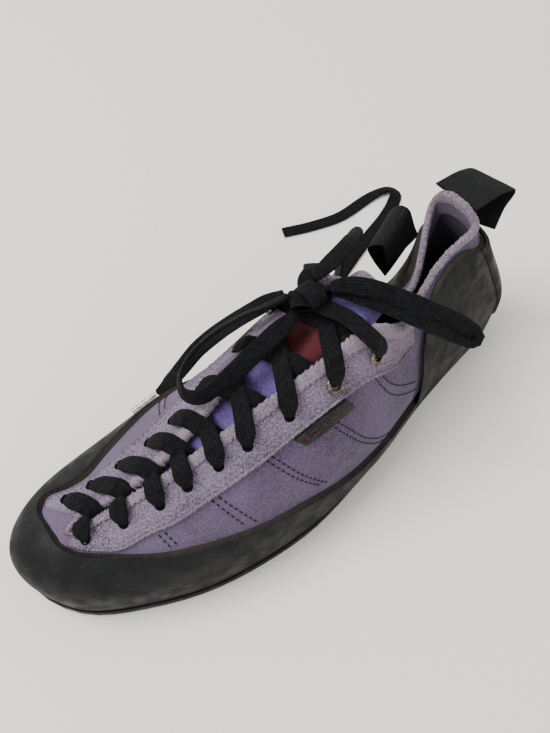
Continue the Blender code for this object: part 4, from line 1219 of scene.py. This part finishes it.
def laced(number, start, goal, side, lift):
    """One strand from its hole, over the facing's edge, and down under the opposite side."""
    (u0, t0), (u1, t1) = start, goal
    near, far = skin(u0, t0), skin(u1, t1)
    whole = number <= CROSSING_SEEN
    reach = 0.98 if whole else 0.76  # how far across the gap it can be seen
    crossing = [rim_crossing(near, far, u) for u in (u0, u1)]
    rims = [shifted(u, 0.99, RIM_HEIGHT) for u in crossing]
    across = sum(skin_normal(u, 0.99) for u in crossing)
    gap = np.linalg.norm(rims[1] - rims[0])
    points, normals = [], []
    for part in np.linspace(0, 1, 15)[:-1]:
        u, t = u0 + (crossing[0] - u0) * part, t0 + (0.99 - t0) * part
        height = 0.0002 + (lift + (RIM_HEIGHT - lift) * part - 0.0002) * (1 - math.exp(-part * 9))
        height += 0.0006 * math.sin(math.pi * part)
        points.append(shifted(u, t, height))
        normals.append(skin_normal(u, t))
    for f in np.linspace(0, reach, 14):
        if whole:
            sag = 0.06 * gap * f * (1 - f) + 0.027 * max(0.0, f - 0.74)
        else:
            sag = 0.24 * gap * f * (1 - f) + 0.0105 * max(0.0, f - 0.3)
        points.append(rims[0] * (1 - f) + rims[1] * f - UP * (sag + 0.0011 * side))
        normals.append(across)
    points = np.array(points)
    for _ in range(3):
        points[1:-1] = points[1:-1] * 0.5 + (points[:-2] + points[2:]) * 0.25
    sides = np.cross(np.array(normals), np.gradient(points, axis=0))
    return points, sides, pinched(len(points), 7.0)


for row in range(1, len(EYELETS_LATERAL)):
    lift = 0.0040 if row < METAL_EYELETS else 0.0030
    for side, (own, other, word) in enumerate(
        ((EYELETS_LATERAL, EYELETS_MEDIAL, "lateral"), (EYELETS_MEDIAL, EYELETS_LATERAL, "medial"))
    ):
        points, sides, pinch = laced(row, own[row], other[row - 1], side, lift)
        lace("strand_%s_%d" % (word, row + 1), points, sides, pinch, "lace_crossing_%d" % row)


# %% Painted shade of the holes under the strands
def dimple(name, place):
    """A dark disc on the facing: painted shade of the hole where the strand comes out."""
    u, t = place
    normal = skin_normal(u, t)
    x = np.cross(normal, UP)
    x /= np.linalg.norm(x)
    y = np.cross(normal, x)
    centre = shifted(u, t, ON_FACING - 0.0002)

    def ring(a, b):
        radius = 0.0023 * b
        turn = a * 2 * math.pi
        return centre + (np.cos(turn) * radius)[:, None] * x + (np.sin(turn) * radius)[:, None] * y

    sheet(name, 20, 3, ring, hole_painted_shade)


for row in range(METAL_EYELETS, len(EYELETS_LATERAL)):
    dimple("hole_lateral_%d" % (row + 1), EYELETS_LATERAL[row])
    dimple("hole_medial_%d" % (row + 1), EYELETS_MEDIAL[row])
for side in ("lateral", "medial"):
    for number in range(1, METAL_EYELETS + 1):
        dress("eyelet_%s_%d" % (side, number), dark_brass)

# %% [markdown]
# ## The bow
# From the top holes the lace runs to the knot over the tongue. The knot is three short bands, each wrapped
# once round its own axis and a little askew. Loops and ends are free cord: each follows the same route as
# its solid.

# %% From the top holes to the knot
def to_knot(name, place, lip_at, over, node):
    """A strand from its grommet over the facing's edge and across the tongue to the knot."""
    u, t = place
    start = shifted(u, t, 0.0012)
    above = shifted(u, t + 0.03, LACE_LIFT)
    lip = shifted(lip_at, 0.985, LACE_LIFT + 3 * RIM_LIFT)
    rows = [start, above, (above + lip) / 2 + UP * RIM_LIFT, lip, *[np.array(p) * MM for p in over]]
    route = smooth_route(rows, 0.0011)
    level = np.clip(np.linspace(0, 1.6, len(route)), 0, 1)[:, None]
    normals = skin_normal(u, 0.95) * (1 - level) + UP * level
    sides = np.cross(normals, np.gradient(route, axis=0))
    lace(name, route, sides, pinched(len(route), 8.0), node)


OVER_LATERAL = [(79, 17.5, 93.8), (82.3, 9, 93.4), (84.5, 4, 93.8)]
OVER_MEDIAL = [(76, -10.8, 94.4), (80.5, -8.3, 94.4), (84, -3, 94)]
to_knot("bar_lateral", EYELETS_LATERAL[0], 6.05, OVER_LATERAL, "lace_bar_lateral")
to_knot("bar_medial", EYELETS_MEDIAL[0], 18.0, OVER_MEDIAL, "lace_bar_medial")


# %% Knot
def wrap(name, centre, axis, half_along, half_up, width, tilt):
    """A short band wrapped once round the knot's core."""
    axis = Vector(axis).normalized()
    across = Vector(UP).cross(axis).normalized()
    up = axis.cross(across)
    across, up = (Matrix.Rotation(tilt, 3, axis) @ v for v in (across, up))
    centre = knot_centre + Vector(centre)
    skew = 0.0012
    path = []
    for w in np.linspace(0, 2 * math.pi, 49):
        ring = centre + across * half_along * math.cos(w) + up * half_up * math.sin(w)
        path.append(ring + axis * skew * math.sin(w + 0.6))
    sides = np.broadcast_to(np.array(axis), (len(path), 3))
    band(name, path, sides, width, LACE, lace_weave, "lace_knot")


knot_centre = Vector(KNOT) * MM
wrap("knot_wrap", (-0.0005, 0, 0.0003), (1.0, 0.15, 0.05), 0.0058, 0.0042, 0.0088, 0.15)
wrap("knot_core", (0.0035, -0.0005, -0.0008), (0.45, 1.0, -0.1), 0.0046, 0.0030, 0.0075, -0.3)
wrap("knot_turn", (-0.0040, 0.0010, -0.0006), (0.3, -1.0, 0.15), 0.0042, 0.0030, 0.0070, 0.35)


# %% Loops and ends
def free_lace(name, rows, node, far_end, tilt=0.0, with_pieces=()):
    """A loop or an end. tilt, in degrees, leans a folded loop: both of its strands turn the same way over."""
    rows = np.array(rows, float)
    rows[:, 3] += tilt * np.clip(2 * np.cos(np.linspace(0, math.pi, len(rows))), -1, 1)
    route = smooth_route(rows * (MM, MM, MM, 1), 0.0022)
    path, sides = route[:, :3], rolled_sides(route)
    pinch = np.ones(len(path))
    pinch[:5] = (0.62, 0.72, 0.82, 0.9, 0.96)
    if far_end == "object":
        pinch[-5:] = (0.96, 0.9, 0.82, 0.72, 0.62)
    if with_pieces:
        pinch[-4:] = (0.9, 0.75, 0.6, 0.42)
    thing = lace(name, path, sides, pinch, node)


dress("lace_tip_toe", clear)
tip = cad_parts["lace_tip_toe"]
free_lace("bow_loop_toe", LEFT_LOOP, "lace_loop_toe", "object")
free_lace("bow_loop_lateral", RIGHT_LOOP, "lace_loop_lateral", "object", tilt=30)
free_lace("bow_end_toe", END_TOE, "lace_end_toe", "bare", with_pieces=[tip])
free_lace("bow_end_heel", END_HEEL, "lace_end_heel", "bare")


# %% [markdown]
# ## Pull loops
# Two loops of webbing help to pull the shoe on. Each is folded over and sewn down at both ends, so the band
# leaves the wall, turns over at the top, and comes back.

# %% Pull loops
# The middle of each band's fold, in mm, and the direction across the band there
MEDIAL_LOOP = [(19, -23, 77), (22, -28.5, 72), (20, -26.5, 65)]
MEDIAL_LOOP_SIDE = (0.90, 0.38, -0.22)
BACK_LOOP = [(-22, -10.5, 91), (-31, -11, 86.5), (-24.5, -10, 80)]
BACK_LOOP_SIDE = (-0.22, 0.97, 0.0)
LOOP_LIFT = RAND + CURVE_GAP + 2 * GAP + WEBBING / 2


def pull_loop(name, node, upper_end, middle, lower_end, fold_side, lifts):
    """A band sewn down at two places on the wall and folded between them."""
    ends = [shifted(u, t, lift) for (u, t), lift in zip((upper_end, lower_end), lifts)]
    route = smooth_route([ends[0], *[np.array(p) * MM for p in middle], ends[1]], 0.0009)
    share = np.linspace(0, 1, len(route))[:, None]
    walls = []
    for u, t in (upper_end, lower_end):
        along = skin(u - 0.4, t) - skin(u + 0.4, t)
        walls.append(along / np.linalg.norm(along) * np.sign(along @ fold_side))
    fold = np.sin(share * math.pi)
    sides = (walls[0] * (1 - share) + walls[1] * share) * (1 - fold) + np.array(fold_side) * fold
    band(name, route, sides, WEBBING_WIDTH, WEBBING, webbing_weave, node, facets=40)


pull_loop(
    "pull_loop_inner_side", "pull_loop_medial", (21.5, 0.84), MEDIAL_LOOP, (21.5, 0.66), MEDIAL_LOOP_SIDE,
    (LOOP_LIFT + 0.0026, LOOP_LIFT + 0.0026),
)  # fmt: skip
pull_loop(
    "pull_loop_at_back", "pull_loop_back", (0.0, 0.95), BACK_LOOP, (0.0, 0.70), BACK_LOOP_SIDE,
    (LOOP_LIFT - RAND, LOOP_LIFT + STRIP + GAP),
)  # fmt: skip
